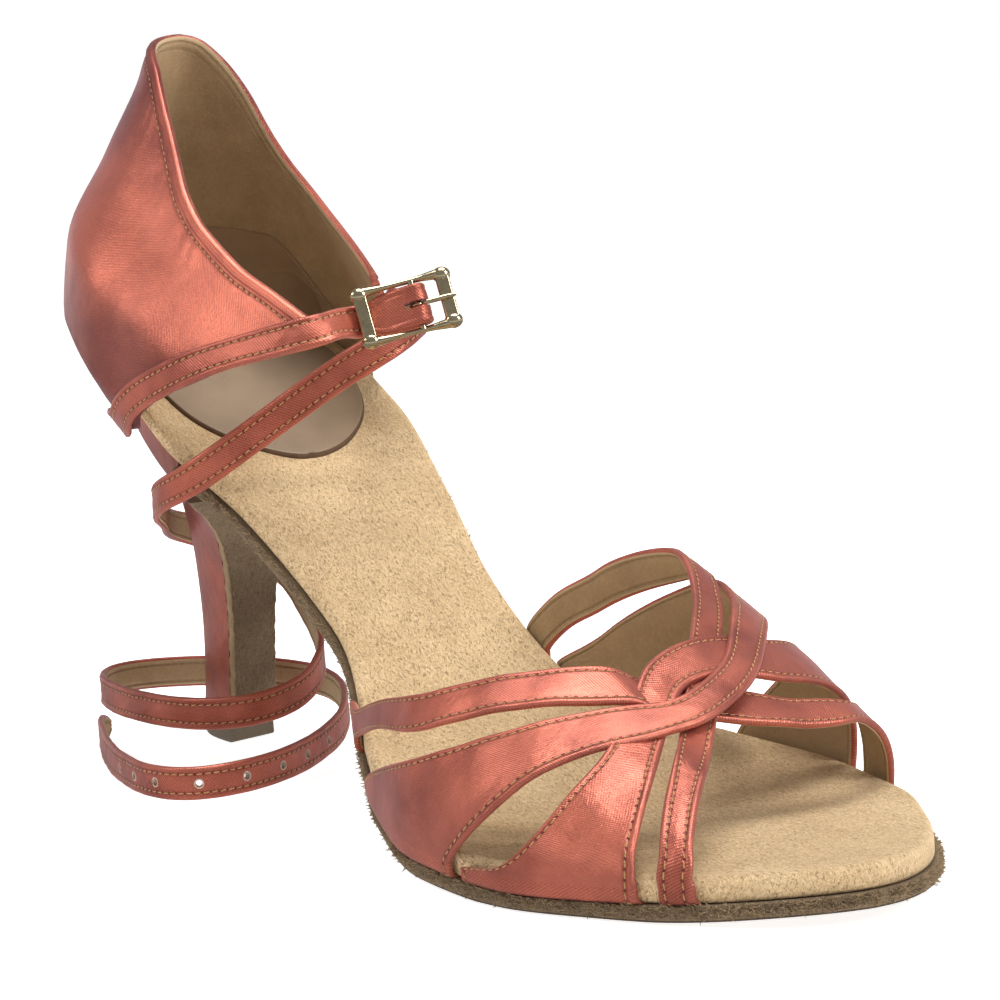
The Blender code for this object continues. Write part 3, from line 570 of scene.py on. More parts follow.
def make_vamp_strap(name, strap, finishes):
    """Toe strap from the inner seat over the foot to the outer seat, ends tucked under the insole."""
    steps = np.linspace(0, 1, len(strap["rear_x"]))
    tucks = len(TUCK["drop"])
    t = np.concatenate([np.zeros(tucks), np.linspace(0, 1, VAMP_STATIONS), np.ones(tucks)])
    drop = np.concatenate([TUCK["drop"][::-1], np.full(VAMP_STATIONS, -1.0), TUCK["drop"]])
    inward = np.concatenate([TUCK["inward"][::-1], np.zeros(VAMP_STATIONS), TUCK["inward"]])
    rear_x, rear_deg, front_x, front_deg = (
        curve(steps, strap[column], t) for column in ("rear_x", "rear_deg", "front_x", "front_deg")
    )
    edges = soften(np.stack([rear_x, rear_deg, front_x, front_deg], axis=1)[tucks:-tucks], 30)
    rear_x[tucks:-tucks], rear_deg[tucks:-tucks], front_x[tucks:-tucks], front_deg[tucks:-tucks] = edges.T
    rear_deg[0 : tucks + 1] = front_deg[0 : tucks + 1] = 0.0
    rear_deg[-tucks - 1 :] = front_deg[-tucks - 1 :] = 180.0

    def place_at(i, a, n):
        share = a / widths[i]
        x = rear_x[i] + (front_x[i] - rear_x[i]) * share
        degrees = rear_deg[i] + (front_deg[i] - rear_deg[i]) * share
        base = foot_form(x, degrees)
        side = np.where(degrees < 90, -1.0, 1.0)
        level = points(0 * side, side, 0 * side)
        from_seat = np.minimum(degrees, 180 - degrees)
        normal = unit(level + (foot_normal(x, degrees) - level) * soft_step(0, 7, from_seat)[..., None])
        lift = n - VAMP_THICK / 2 - strap["dip"] * knot_share(strap, degrees)
        lift = lift + 0.07 * np.sin(x * 0.55 + degrees * 0.21) * soft_step(10, 30, from_seat)
        placed = base + normal * lift[..., None]
        tucked = drop[i] > 0
        placed[..., 2] = np.where(tucked, insole_height(x) - drop[i], placed[..., 2])
        placed[..., 1] = placed[..., 1] - np.where(tucked, side * inward[i], 0)
        return placed

    station = np.arange(len(t))
    widths = np.ones(len(t))
    cross = [place_at(station, np.full(len(t), f), np.zeros(len(t))) for f in np.linspace(0, 1, 13)]
    widths = sum(np.linalg.norm(b - a, axis=1) for a, b in zip(cross, cross[1:]))
    inset = np.full(len(t), STITCH_INSET)
    lines = []
    for a in (inset, widths - inset):
        path = place_at(station, a, np.full(len(t), VAMP_THICK / 2 - STITCH_SINK))
        above = place_at(station, a, np.full(len(t), VAMP_THICK / 2 - STITCH_SINK + 1))
        lines.append((path, unit(above - path)))
    shape = strap_sheet(place_at, widths, lines, VAMP_THICK, len(t))
    finish_piece(name, shape, finishes, "vamp_straps")
    return lines


def ribbon_frame(path, normals):
    """Across and outward directions of a flat strap at each point of its path."""
    run = np.gradient(path, axis=0)
    across = unit(np.cross(normals, run))
    out = unit(np.cross(run, across))
    return across, out


def make_ribbon(name, path, across, out, finishes, node, tip=None, wider=0.0, sewn=None):
    """Flat strap along a path, wider by so many mm at each point and sewn up to one of them.

    tip rounds off its free end.
    """
    count = len(path)
    run = lengths_along(path)
    widths = np.full(count, STRAP_WIDTH) + wider
    if tip:
        short = np.clip(1 - (run[-1] - run) / tip, 0, 1)
        widths = STRAP_WIDTH * np.sqrt(np.clip(1 - 0.72 * short**2.2, 0.05, 1))

    def place_at(i, a, n):
        off = (a - widths[i] / 2)[:, None]
        ripple = 0.05 * np.sin(run[i] * 0.42 + a * 0.8) + 0.03 * np.sin(run[i] * 1.13 - a * 1.4)
        return path[i] + across[i] * off + out[i] * (n + ripple)[:, None]

    station = np.arange(count)
    lines = []
    for a in (np.full(count, STITCH_INSET), widths - STITCH_INSET):
        lines.append((place_at(station, a, np.full(count, STRAP_THICK / 2 - STITCH_SINK)), out))
    shape = strap_sheet(place_at, widths, lines, STRAP_THICK, sewn or count)
    return finish_piece(name, shape, finishes, node), lines


def seated_path(side, table, spacing):
    """Strap's middle line and outward normals where it lies on the counter."""
    cover = STRAP_CLEARANCE + STRAP_THICK / 2 - 0.45
    s = np.linspace(table["s"][0], table["s"][-1], int((table["s"][-1] - table["s"][0]) / spacing) + 1)
    h = curve(table["s"], table["h"], s)
    back = curve(COUNTER["h"], COUNTER["back"], h)
    q_round = np.arccos(np.clip((COUNTER_TURN_S - s) / (COUNTER_TURN_S - back), -1, 1)) / math.pi
    q_side = 0.5 + 0.5 * (s - COUNTER_TURN_S) / (COUNTER_FRONT_S[side] - COUNTER_TURN_S)
    q = np.where(s < COUNTER_TURN_S, q_round, q_side)
    spot = counter_form(side, q, h)
    along = counter_form(side, q + 0.02, h) - counter_form(side, q - 0.02, h)
    up = counter_form(side, q, h + 0.8) - counter_form(side, q, h - 0.8)
    normal = unit(np.cross(along, up))
    normal = normal * np.where(normal[:, 1] * spot[:, 1] < 0, -1.0, 1.0)[:, None]
    normal = unit(soften(normal, 6))
    return spot + normal * cover, normal


def buckle_axes():
    """The buckle's directions: along the strap, across it and away from the foot."""
    along = BUCKLE_ALONG
    up = (BUCKLE_UP - along * BUCKLE_UP.dot(along)).normalized()
    return along, up, along.cross(up)


def at_buckle(u, n):
    """Place so far along the strap and away from the foot, from the buckle's centre."""
    along, _, out = buckle_axes()
    return np.array(BUCKLE_CENTRE + along * u + out * n)


def cut_away(piece, cutter):
    """Cut a tool's shape out of a finished piece, its walls taking the tool's finish."""
    step = piece.modifiers.new("cut", "BOOLEAN")
    step.operation = "DIFFERENCE"
    step.solver = "EXACT"
    step.material_mode = "TRANSFER"
    step.object = cutter
    bpy.context.view_layer.update()
    result = bpy.data.meshes.new_from_object(piece.evaluated_get(bpy.context.evaluated_depsgraph_get()))
    piece.modifiers.clear()
    piece.data = result
    bpy.data.objects.remove(cutter)


def make_buckle_strap(finishes, thread):
    """Inner strap: stitched to the counter, over the instep and round the buckle's pin."""
    along, _, outward = (np.array(axis) for axis in buckle_axes())
    seated, seated_normals = seated_path("medial", BUCKLE_STRAP_SEAT, 1.0)
    fold = [at_buckle(*spot) for spot in BUCKLE_STRAP_FOLD]
    free = through([seated[-4], seated[-1], *BUCKLE_STRAP_FREE, *fold], 0.8)
    lead = len(seated) - 4
    share = np.linspace(0, 1, len(free))[:, None]
    free_normals = unit(seated_normals[-1] + (outward - seated_normals[-1]) * share**0.7)
    turn = np.linspace(0, math.pi, 22)
    loop = np.array([at_buckle(FOLD_RADIUS * math.sin(a), FOLD_RADIUS * math.cos(a)) for a in turn])
    loop_normals = np.array([outward * math.cos(a) + along * math.sin(a) for a in turn])
    back = through([at_buckle(*spot) for spot in ((0, -FOLD_RADIUS), *BUCKLE_STRAP_RETURN)], 0.8)[1:]
    back_normals = np.tile(-outward, (len(back), 1))
    path = np.vstack([seated[:lead], free, loop, back])
    normals = np.vstack([seated_normals[:lead], free_normals, loop_normals, back_normals])
    start = lead + len(free) - 3
    path[:start] = soften(path[:start], 8)
    normals[: start + 6] = unit(soften(normals[: start + 6], 10))
    across, out = ribbon_frame(path, normals)
    from_pin = np.linalg.norm(path - np.array(BUCKLE_CENTRE), axis=1)
    fuller = 1.3 * soft_step(8.5, 6.0, from_pin)
    shown = int(np.argmin(np.linalg.norm(path - fold[0], axis=1)))
    piece, lines = make_ribbon(
        "buckle_strap_satin", path, across, out, finishes, "buckle_strap", wider=fuller, sewn=shown
    )
    slit = bmesh.new()
    bmesh.ops.create_cube(slit, size=1.0, matrix=buckle_place(SLIT_AHEAD, 0, 0, *SLIT_SIZE))
    cut_away(piece, add_object("slit", slit, finishes[:1]))
    sew("buckle_strap_stitches", [(line[:shown], normal[:shown]) for line, normal in lines], thread)


def make_ankle_strap(finishes, wall, thread):
    """Outer strap: stitched to the counter, over the seat, round the heel and down to the floor."""
    seated, seated_normals = seated_path("lateral", ANKLE_STRAP_SEAT, 1.0)
    free = through([seated[-4], seated[-1], *ANKLE_STRAP_FREE], 1.0)
    lead = len(seated) - 4
    path = soften(np.vstack([seated[:lead], free]), 14)
    run = np.gradient(path, axis=0)
    sideways = unit(np.cross(np.array([0.0, 0.0, 1.0]), run))
    settle = soft_step(lead + 2, lead + 20, np.arange(len(path)))[:, None]
    normals = np.vstack([seated_normals[:lead], np.tile(seated_normals[-1], (len(free), 1))])
    normals = unit(normals + (sideways - normals) * settle)
    normals = unit(soften(normals, 12))
    across, out = ribbon_frame(path, normals)
    piece, lines = make_ribbon("ankle_strap_satin", path, across, out, finishes, "ankle_strap", tip=7.0)
    run = lengths_along(path)
    punched = np.searchsorted(run, run[-1] - PUNCH_FIRST - PUNCH_SPACING * np.arange(PUNCH_COUNT))
    size = {"radius1": PUNCH_RADIUS, "radius2": PUNCH_RADIUS, "depth": 4.0}
    holes = bmesh.new()
    rims = bmesh.new()
    for i in punched:
        forward = unit(np.cross(out[i], across[i]))
        facing = Matrix((across[i], forward, out[i])).transposed().to_4x4()
        place = Matrix.Translation(Vector(path[i])) @ facing
        bmesh.ops.create_cone(holes, cap_ends=True, segments=16, matrix=place, **size)
        rim_centre = path[i] + out[i] * (STRAP_THICK / 2 - 0.08)
        add_ring(rims, rim_centre, across[i], forward, RIM_RADIUS, RIM_THICK)
    cut_away(piece, add_object("punch", holes, [wall]))
    sew("ankle_strap_stitches", lines, thread)
    finish_piece("ankle_strap_hole_rims", rims, [wall], sharp=50)


def add_ring(shape, centre, a, b, radius, thick, around=20, section=6):
    """Round ring in the plane of a and b, made by spinning a small circle."""
    normal = np.cross(a, b)
    place = Matrix((a, normal, b)).transposed().to_4x4()
    place = Matrix.Translation(Vector(centre + a * radius)) @ place
    made = bmesh.ops.create_circle(shape, segments=section, radius=thick, matrix=place)
    made_edges = list({edge for vert in made["verts"] for edge in vert.link_edges})
    bmesh.ops.spin(
        shape,
        geom=made["verts"] + made_edges,
        cent=Vector(centre),
        axis=Vector(normal),
        angle=2 * math.pi,
        steps=around,
        use_merge=True,
    )


# ---------------------------------------------------------------- counter

# Distances of the mesh's rows below the collar's edge, outside and inside
COLLAR_ROWS = (
    *(0.03, 0.1, 0.22, 0.36, 0.5, 0.62, 0.72, 0.84, 0.98, 1.1),
    *(1.2, 1.34, 1.6, 1.85, 2.0, 2.15, 2.4, 2.8, 3.4, 4.0),
)
COLLAR_LINING = (0.12, 0.3, 0.55, 0.8, 0.95, 1.1, 1.4, 1.8, 2.1, 2.4, 2.7, 2.95, 3.1, 3.3, 3.6, 4.2, 5.0)
WALL_ROWS = 30
STITCH_DROP = 2.0
ROLL = 0.8


def rolled(d):
    """Drop of a rounded edge below its full height, by distance from the edge."""
    return ROLL * np.sqrt(np.clip(1 - np.clip(1 - d / ROLL, 0, 1) ** 2, 0, 1)) - ROLL


def collar_cover(d):
    """How far the outer face stands out, by distance below the collar's edge: a twice rolled binding."""
    binding = 0.20 * bump_at(d, 0.32, 0.24) + 0.24 * bump_at(d, 0.96, 0.22)
    furrows = 0.14 * bump_at(d, 1.32, 0.14) + 0.16 * bump_at(d, STITCH_DROP, 0.22)
    return rolled(d) + binding * soft_step(0, 0.12, d) - furrows


def collar_lining_cover(d):
    """How far the lining stands in from the wall, by distance below the edge."""
    sunk = 0.16 * soft_step(0.7, 1.0, d) + 0.22 * bump_at(d, 2.05, 0.3)
    raised = 0.25 * bump_at(d, 3.0, 0.16) + 0.16 * soft_step(3.0, 3.15, d)
    return raised - sunk - rolled(d)


def make_counter(finishes, thread):
    """Closed back of the upper: satin outside, suede lining inside, a rolled binding at the collar."""
    inner_q = [*np.linspace(COUNTER_FRONT_Q["medial"], 0.5, 74)[:-1], *np.linspace(0.5, 0.0, 64)[:-1]]
    outer_q = [*np.linspace(0.0, 0.5, 64)[:-1], *np.linspace(0.5, COUNTER_FRONT_Q["lateral"], 36)]
    q_of = np.array(inner_q + outer_q)
    everywhere = np.arange(len(q_of))
    is_inner = everywhere < len(inner_q)

    def form(i, h, cover):
        medial = counter_form("medial", q_of[i], h, cover)
        lateral = counter_form("lateral", q_of[i], h, cover)
        return np.where(is_inner[i][:, None], medial, lateral)

    limits = {}
    for name in ("top", "low"):
        medial = curve(COLLAR["medial"]["q"], COLLAR["medial"][name], q_of)
        lateral = curve(COLLAR["lateral"]["q"], COLLAR["lateral"][name], q_of)
        limits[name] = soften(np.where(is_inner, medial, lateral)[:, None], 6)[:, 0]
    edge = form(everywhere, limits["top"], 0.0)
    slope = np.gradient(edge[:, 2], lengths_along(edge[:, :2]))
    steep = soften(np.sqrt(1 + slope**2)[:, None], 4)[:, 0]
    run = lengths_along(edge)

    rows = [(f, 1, 0) for f in np.linspace(0, 1, WALL_ROWS)[:-1]]
    rows += [(d, 0, 0) for d in COLLAR_ROWS[::-1]]
    rows += [(d, 0, 1) for d in COLLAR_LINING]
    rows += [(f, 1, 1) for f in np.linspace(1, 0, WALL_ROWS)[1:]]
    rows.append(rows[0])
    value, is_wall, inside = np.array(rows).T

    def height_at(i, j):
        last = np.where(inside[j] > 0, COLLAR_LINING[-1], COLLAR_ROWS[-1]) * steep[i]
        wall = limits["low"][i] + (limits["top"][i] - last - limits["low"][i]) * value[j]
        return np.where(is_wall[j] > 0, wall, limits["top"][i] - value[j] * steep[i])

    def distance_at(i, j):
        return (limits["top"][i] - height_at(i, j)) / steep[i]

    def cover_at(i, j):
        d = distance_at(i, j)
        pucker = 0.10 * np.cos(2 * math.pi * (run[i] / STITCH_PITCH)) * bump_at(d, STITCH_DROP + 0.2, 0.7)
        pull = 0.10 * np.sin(run[i] * 1.1 + np.sin(run[i] * 0.37) * 2.0) * bump_at(d, STITCH_DROP + 1.6, 1.6)
        slack = 0.22 * np.sin(run[i] * 0.19 + 1.0 + 0.06 * d) * soft_step(3.2, 9.0, d) + pull
        outer = collar_cover(d) + pucker + slack
        return np.where(inside[j] > 0, collar_lining_cover(d) - COUNTER_WALL, outer)

    def place(i, j):
        return form(i, height_at(i, j), cover_at(i, j))

    def cloth(i, j):
        d = distance_at(i, j)
        down = limits["top"][i] - height_at(i, j) + LINING_APART * inside[j]
        from_edge = np.where(inside[j] > 0, np.minimum(d, 30.0), np.abs(d - STITCH_DROP) + STITCH_INSET)
        return {
            "cloth": np.stack([run[i], down], axis=1) * MAP_SCALE,
            "seam": np.stack([run[i], from_edge], axis=1) * MAP_SCALE,
        }

    def paint(j):
        return int(inside[j] > 0 and inside[j + 1] > 0 and not (is_wall[j] == 0 and value[j] < 0.25))

    shape = sheet(len(q_of) - 1, len(rows) - 1, place, cloth, paint)
    close_ends(shape)
    finish_piece("counter_satin_and_lining", shape, finishes, "heel_counter", sharp=70)

    height = limits["top"] - STITCH_DROP * steep
    line = form(everywhere, height, -0.05)
    above = form(everywhere, height, 0.95)
    sew("collar_stitches", [(line, unit(above - line))], thread)


# ---------------------------------------------------------------- sole


BOTTOM_ROWS = 14
TOP_ROWS = 21


def plan_loop(count, first=0.0):
    """Points round the plan, their inward directions and the middle line, from the back's outer side.

    The middle line stops short of the plan's round ends, inside their inset rows.
    """
    turns = np.linspace(float(round_end(first)), math.pi, count)
    s = SOLE_LENGTH * (1 - np.cos(turns)) / 2
    loops = []
    for side, sign in (("lateral", 1), ("medial", -1)):
        edge = points(s + SOLE_BACK_X, sign * half_width(s, side), 0 * s)
        run = np.gradient(edge, axis=0)
        inward = unit(points(run[:, 1], -run[:, 0], 0 * s)) * sign
        if first > 0:
            inward[0] = (0, -sign, 0)
        loops.append((edge, inward))
    edge = np.vstack([loops[0][0], loops[1][0][::-1]])
    inward = np.vstack([loops[0][1], loops[1][1][::-1]])
    partner = np.arange(2 * count)[::-1]
    middle = (edge + edge[partner]) / 2
    centre_x = SOLE_BACK_X + SOLE_LENGTH / 2
    pull = np.where((middle[:, 0] > centre_x) | (first == 0), 0.96, 1.0)
    middle[:, 0] = centre_x + (middle[:, 0] - centre_x) * pull
    return np.vstack([edge, edge[:1]]), np.vstack([inward, inward[:1]]), np.vstack([middle, middle[:1]])


def plate_points(loop, rows):
    """Points of a plate, by station and row of a sheet.

    A row has its inset from the plan, its level along x and its share of the way to the middle line.
    """
    edge, inward, middle = loop
    insets, levels, shares = zip(*rows)

    def place(i, j):
        base = edge[i] + inward[i] * np.take(insets, j)[:, None]
        base = base + (middle[i] - base) * np.take(shares, j)[:, None]
        height = np.zeros(len(j))
        for k, level in enumerate(levels):
            height[j == k] = level(base[j == k, 0])
        base[:, 2] = height
        return base

    return place


def make_sole_plate(name, edge_rows, top, bottom, finishes, node, slot, paint=None, first=0.0, uneven=None):
    """Plate of the sole: a rounded edge all round, and covers that close on the plan's middle line."""
    loop = plan_loop(130, first)
    rows = [(*bottom, 1 - f) for f in np.linspace(0, 1, BOTTOM_ROWS + 1)[:-1]]
    rows += [(*row, 0.0) for row in edge_rows]
    rows += [(*top, f) for f in np.linspace(0, 1, TOP_ROWS + 1)[1:]]
    level_place = plate_points(loop, rows)
    steps = len(loop[0]) - 1

    def place(i, j):
        base = level_place(i, j)
        if uneven:
            is_top = j >= BOTTOM_ROWS + len(edge_rows) - 2
            base[:, 2] += np.where(is_top, uneven(base[:, 0], base[:, 1]), 0)
        return base

    def cloth(i, j):
        return {"cloth": np.stack([i / steps * 4.5, j * 0.01], axis=1)}

    shape = sheet(steps, len(rows) - 1, place, cloth, paint)
    if first > 0:
        close_ends(shape)
    finish_piece(name, shape, finishes, node)


def below_insole(drop):
    """Level a fixed drop below the insole's upper face."""
    return lambda x: insole_height(x) - drop


def make_insole(finishes):
    """Suede-covered insole, its upper edge turned over in a fuller curve than its lower one."""
    low, high = 0.9, 1.5
    turned = []
    for a in np.radians(np.linspace(-90, 0, 7)):
        turned.append((low - low * math.cos(a), below_insole(INSOLE_THICK - low - low * math.sin(a))))
    for a in np.radians(np.linspace(0, 90, 10)):
        turned.append((high - high * math.cos(a), below_insole(high - high * math.sin(a))))

    def uneven(x, y):
        soft = 0.10 * np.sin(x * 0.11 + y * 0.07) * np.sin(y * 0.13 + 1.3)
        return soft + 0.05 * np.sin(x * 0.31 + 2.0) * np.sin(y * 0.37)

    top, bottom = (high, below_insole(0.0)), (low, below_insole(INSOLE_THICK))
    part = ("insole", "insole_suede")
    make_sole_plate("insole_suede_cover", turned, top, bottom, finishes, *part, uneven=uneven)


def sole_bottom(x):
    """The forefoot's lowest part is pressed flat on the floor."""
    return np.maximum(insole_height(x) - STACK - FLAT_SPOT, 0.0)


def above_bottom(rise):
    """Level a fixed rise above the sole's lower face."""
    return lambda x: sole_bottom(x) + rise


def make_outsole(finishes):
    """Sole from the heel's breast to the toe, its lower edge a cut one."""
    out = -OUTSOLE_OUTSET
    top = INSOLE_THICK + CONTACT_GAP - 0.25
    edge_rows = [
        (0.15, above_bottom(0.0)),
        (out + 0.25, above_bottom(0.12)),
        (out, above_bottom(0.45)),
        (out - 0.08, above_bottom(0.8)),
        (out, lambda x: (sole_bottom(x) + insole_height(x) - top) / 2 + 0.15),
        (out - 0.06, below_insole(top + 0.5)),
        (out + 0.12, below_insole(top + 0.15)),
        (out + 0.5, below_insole(top)),
    ]
    make_sole_plate(
        "outsole_suede",
        edge_rows,
        (1.5, below_insole(top + 0.05)),
        (0.8, sole_bottom),
        finishes,
        "outsole",
        "sole_suede",
        lambda j: int(BOTTOM_ROWS <= j <= BOTTOM_ROWS + 1),
        first=BREAST_S,
    )


def add_fibres(finish):
    """Loose suede fibres that stand out all along the cut edge of the outer sole."""
    draw = np.random.default_rng(11)
    edge, inward, _ = plan_loop(900, BREAST_S)
    count = len(edge) - 1
    places = []
    for k in range(count):
        for _ in range(4):
            share = draw.random()
            spot = edge[k] * (1 - share) + edge[(k + 1) % count] * share
            out = -inward[k]
            low = float(sole_bottom(spot[0])) + 0.35
            high = float(insole_height(spot[0])) - INSOLE_THICK - CONTACT_GAP + 0.15
            spot = spot + out * (OUTSOLE_OUTSET - 0.12)
            spot[2] = low + (high - low) * math.sqrt(draw.random())
            along = unit(edge[(k + 1) % count] - edge[k])
            lean = along * draw.normal(0.0, 0.8) + np.array([0.0, 0.0, draw.normal(0.15, 0.5)])
            run = unit(out * 0.8 + lean)
            length = 0.35 + 0.65 * draw.random() ** 2
            across = unit(np.cross(run, np.array([0.0, 0.0, 1.0])))
            up = np.cross(across, run)
            axes = np.stack([across * 0.085, up * 0.085, run * length], axis=0)
            places.append((axes, spot + run * length * 0.4))
    finish_piece("outsole_edge_fibres", spindles(places, 4, 3), [finish], sharp=80)


def sock_half_width(s, side):
    """The sock keeps clear of the counter at the back and ends in a round tongue."""
    full = half_width(np.maximum(s, 6.0), side) - 4.5
    front = np.sqrt(np.clip(1 - ((s - 26) / 28.5) ** 2, 0, 1))
    back = np.sqrt(np.clip(1 - ((26 - s) / 22.5) ** 2, 0, 1))
    return full * np.where(s > 26, front, back)


def make_sock(finishes):
    """Smooth heel sock with a thin dark cut edge."""
    first, last = 3.6, 54.4
    s = (first + last) / 2 - (last - first) / 2 * np.cos(np.linspace(0, math.pi, 70))
    lateral, medial = (
        points(s + SOLE_BACK_X, sign * np.maximum(sock_half_width(s, side), 0.0), 0 * s)
        for side, sign in (("lateral", 1), ("medial", -1))
    )
    edge = np.vstack([lateral, medial[::-1], lateral[:1]])
    middle = (lateral + medial) / 2
    middle = np.vstack([middle, middle[::-1], middle[:1]])
    run = np.gradient(edge, axis=0)
    run[0] = run[-1] = edge[1] - edge[-2]
    inward = soften(unit(points(run[:, 1], -run[:, 0], 0 * run[:, 0])), 3)
    section = [(0.5, -0.15, 1.0), (0.3, -0.15, 0.0), (0.0, -0.1, 0.0), (-0.05, 0.3, 0.0), (0.05, 0.62, 0.0)]
    section += [(0.2, 0.78, 0.0), (0.45, 0.86, 0.0), (0.8, 0.84, 0.0)]
    section += [(0.8, 0.84, f) for f in np.linspace(0, 1, 16)[1:]]
    rows = [(inset, below_insole(-rise), toward) for inset, rise, toward in section]
    steps = len(edge) - 1

    def cloth(i, j):
        return {"cloth": np.stack([i / steps * 1.4, np.array(section)[j, 2]], axis=1)}

    place = plate_points((edge, inward, middle), rows)
    shape = sheet(steps, len(rows) - 1, place, cloth, lambda j: int(1 <= j <= 4))
    finish_piece("heel_sock_leather", shape, finishes, "heel_sock")


def make_sock_cup(finishes):
    """Sock leather turned up against the lining round the back of the seat."""
    reach = 0.46
    shares = np.linspace(-reach, reach, 90)

    def top(share):
        size = np.abs(share)
        return 20.0 * (1 - soft_step(0.28, reach, size)) + 1.5 - 1.5 * bump_at(size, 0.0, 0.1)

    section = [(0.0, 0.10), (0.0, 0.45)] + [(f, 0.55) for f in np.linspace(0, 0.97, 16)]
    section += [(0.985, 0.45), (1.0, 0.28), (0.99, 0.12), (0.0, 0.10)]
    rise, thick = np.array(section).T

    def place(i, j):
        share = shares[i]
        h = -0.8 + (top(share) + 0.8) * rise[j]
        cover = -COUNTER_WALL - thick[j] + 0.1
        medial = counter_form("medial", np.abs(share), h, cover)
        lateral = counter_form("lateral", np.abs(share), h, cover)
        return np.where((share < 0)[:, None], medial, lateral)

    def cloth(i, j):
        return {"cloth": np.stack([shares[i], rise[j]], axis=1)}

    shape = sheet(len(shares) - 1, len(section) - 1, place, cloth)
    close_ends(shape)
    finish_piece("sock_turned_up", shape, finishes)


# ---------------------------------------------------------------- heel


def heel_row(z):
    """The heel's section at a height of its front."""
    names = ("z_back", "front", "back", "half", "middle", "skew")
    return [curve(HEEL["z_front"], HEEL[name], z) for name in names]


def heel_points(share, z_front, row):
    """Points of the heel's sections: share runs from one breast corner round the back to the other."""
    z_back, front, back, half, middle, skew = row
    side = np.cos(math.pi * share)
    depth = np.abs(np.sin(math.pi * share)) ** 0.9
    spread = np.sign(side) * np.abs(side) ** 0.85 * half
    x = front - (front - back) * depth + np.sin(np.radians(skew)) * spread * (1 - depth)
    z = z_front + (z_back - z_front) * (front - x) / (front - back)
    return points(x, middle - spread, z)


HEEL_ROUND = 72
HEEL_BREAST = 10
HEEL_STEPS = HEEL_ROUND + HEEL_BREAST


def heel_ring(i, z, row):
    """Closed ring: round the back from corner to corner, then straight across the breast."""
    round_share = np.clip(i / HEEL_ROUND, 0, 1)
    across = np.clip((i - HEEL_ROUND) / HEEL_BREAST, 0, 1)[:, None]
    first = heel_points(0 * round_share, z, row)
    last = heel_points(0 * round_share + 1, z, row)
    return np.where(across > 0, last + (first - last) * across, heel_points(round_share, z, row))


def make_heel(finishes):
    """Satin-covered heel, flared into the seat."""
    levels = np.concatenate([np.linspace(4.15, 40, 40), np.linspace(40.6, 52.5, 26)])

    def place(i, j):
        z = levels[j]
        placed = heel_ring(i, z, heel_row(z))
        seat = insole_height(placed[:, 0]) - INSOLE_THICK + 0.2
        placed[:, 2] = np.where(j == len(levels) - 1, seat, placed[:, 2])
        return placed

    def cloth(i, j):
        u = i / HEEL_STEPS
        return {
            "cloth": np.stack([u * 0.30, levels[j] * MAP_SCALE], axis=1),
            "seam": np.stack([u, 0 * u + 0.2], axis=1),
        }

    shape = sheet(HEEL_STEPS, len(levels) - 1, place, cloth)
    close_ends(shape)
    finish_piece("heel_satin", shape, finishes, "heel", sharp=40)


def make_heel_tip(finishes):
    """Hard tip: the heel's lowest section, a little smaller at its floor and upper edges."""
    row = heel_row(TIP_HEIGHT + CONTACT_GAP)
    _, front, back, _, middle, _ = row
    size = np.array((0.90, 0.97, 1.0, 1.0, 1.0, 0.985, 0.94))
    level = np.array((0.0, 0.05, 0.3, 2.0, 3.75, 3.95, TIP_HEIGHT + 0.1))
    centre = np.array([(front + back) / 2, middle, 0.0])

    def place(i, j):
        flat = 0.0 * i
        placed = heel_ring(i, flat, [flat, *(value + flat for value in row[1:])])
        placed = centre + (placed - centre) * size[j][:, None]
        placed[:, 2] = level[j]
        return placed

    def cloth(i, j):
        return {"cloth": np.stack([i / HEEL_STEPS, j / (len(size) - 1)], axis=1)}

    shape = sheet(HEEL_STEPS, len(size) - 1, place, cloth)
    close_ends(shape)
    finish_piece("heel_tip_plastic", shape, finishes, "heel_tip", sharp=35)


def make_breast_cover(finishes):
    """Suede strip down the heel's breast; its top bends forward to meet the sole."""
    z = np.linspace(4.25, 50.6, 70)
    near = heel_points(np.zeros(len(z)), z, heel_row(z))
    far = heel_points(np.ones(len(z)), z, heel_row(z))
    down = np.gradient(near + far, axis=0)
    out = unit(np.cross(far - near, down))
    side = unit(far - near)
    cut_edge = [(0.0, 0.10), (-0.10, 0.5), (-0.12, 0.95), (0.0, 1.25), (0.22, 1.38), (0.6, 1.42)]
    section = [(0.0, a, n) for a, n in cut_edge]
    section += [(f, 0.6 - 1.2 * f, 1.42) for f in np.linspace(0, 1, 14)[1:-1]]
    section += [(1.0, -a, n) for a, n in cut_edge[::-1]]
    section.append(section[0])
    share, added, height = np.array(section).T
    cut_rows = 4

    def place(i, j):
        width = np.linalg.norm(far[i] - near[i], axis=1)
        frayed = 0.10 * np.sin(z[i] * 1.7) + 0.08 * np.sin(z[i] * 3.1 + 1.0)
        at_edge = np.where(share[j] < 0.5, -1.0, 1.0) * (np.abs(share[j] - 0.5) > 0.45)
        a = width * share[j] + added[j] + at_edge * frayed
        bulge = 0.25 * np.sin(math.pi * share[j])
        return near[i] + side[i] * a[:, None] + out[i] * (height[j] + bulge)[:, None]

    def cloth(i, j):
        return {"cloth": np.stack([z[i] * MAP_SCALE, share[j]], axis=1)}

    def paint(j):
        return int(j < cut_rows or j >= len(section) - 2 - cut_rows)

    shape = sheet(len(z) - 1, len(section) - 1, place, cloth, paint)
    close_ends(shape)
    finish_piece("heel_breast_suede", shape, finishes, "heel_breast_cover")


# ---------------------------------------------------------------- buckle


def buckle_place(u, v, n, size_u, size_v, size_n):
    """Transform of a unit block to its place and size in the buckle's own directions."""
    along, up, out = buckle_axes()
    axes = Matrix((along, up, out)).transposed().to_4x4()
    centre = BUCKLE_CENTRE + along * u + up * v + out * n
    return Matrix.Translation(centre) @ axes @ Matrix.Diagonal((size_u, size_v, size_n, 1.0))


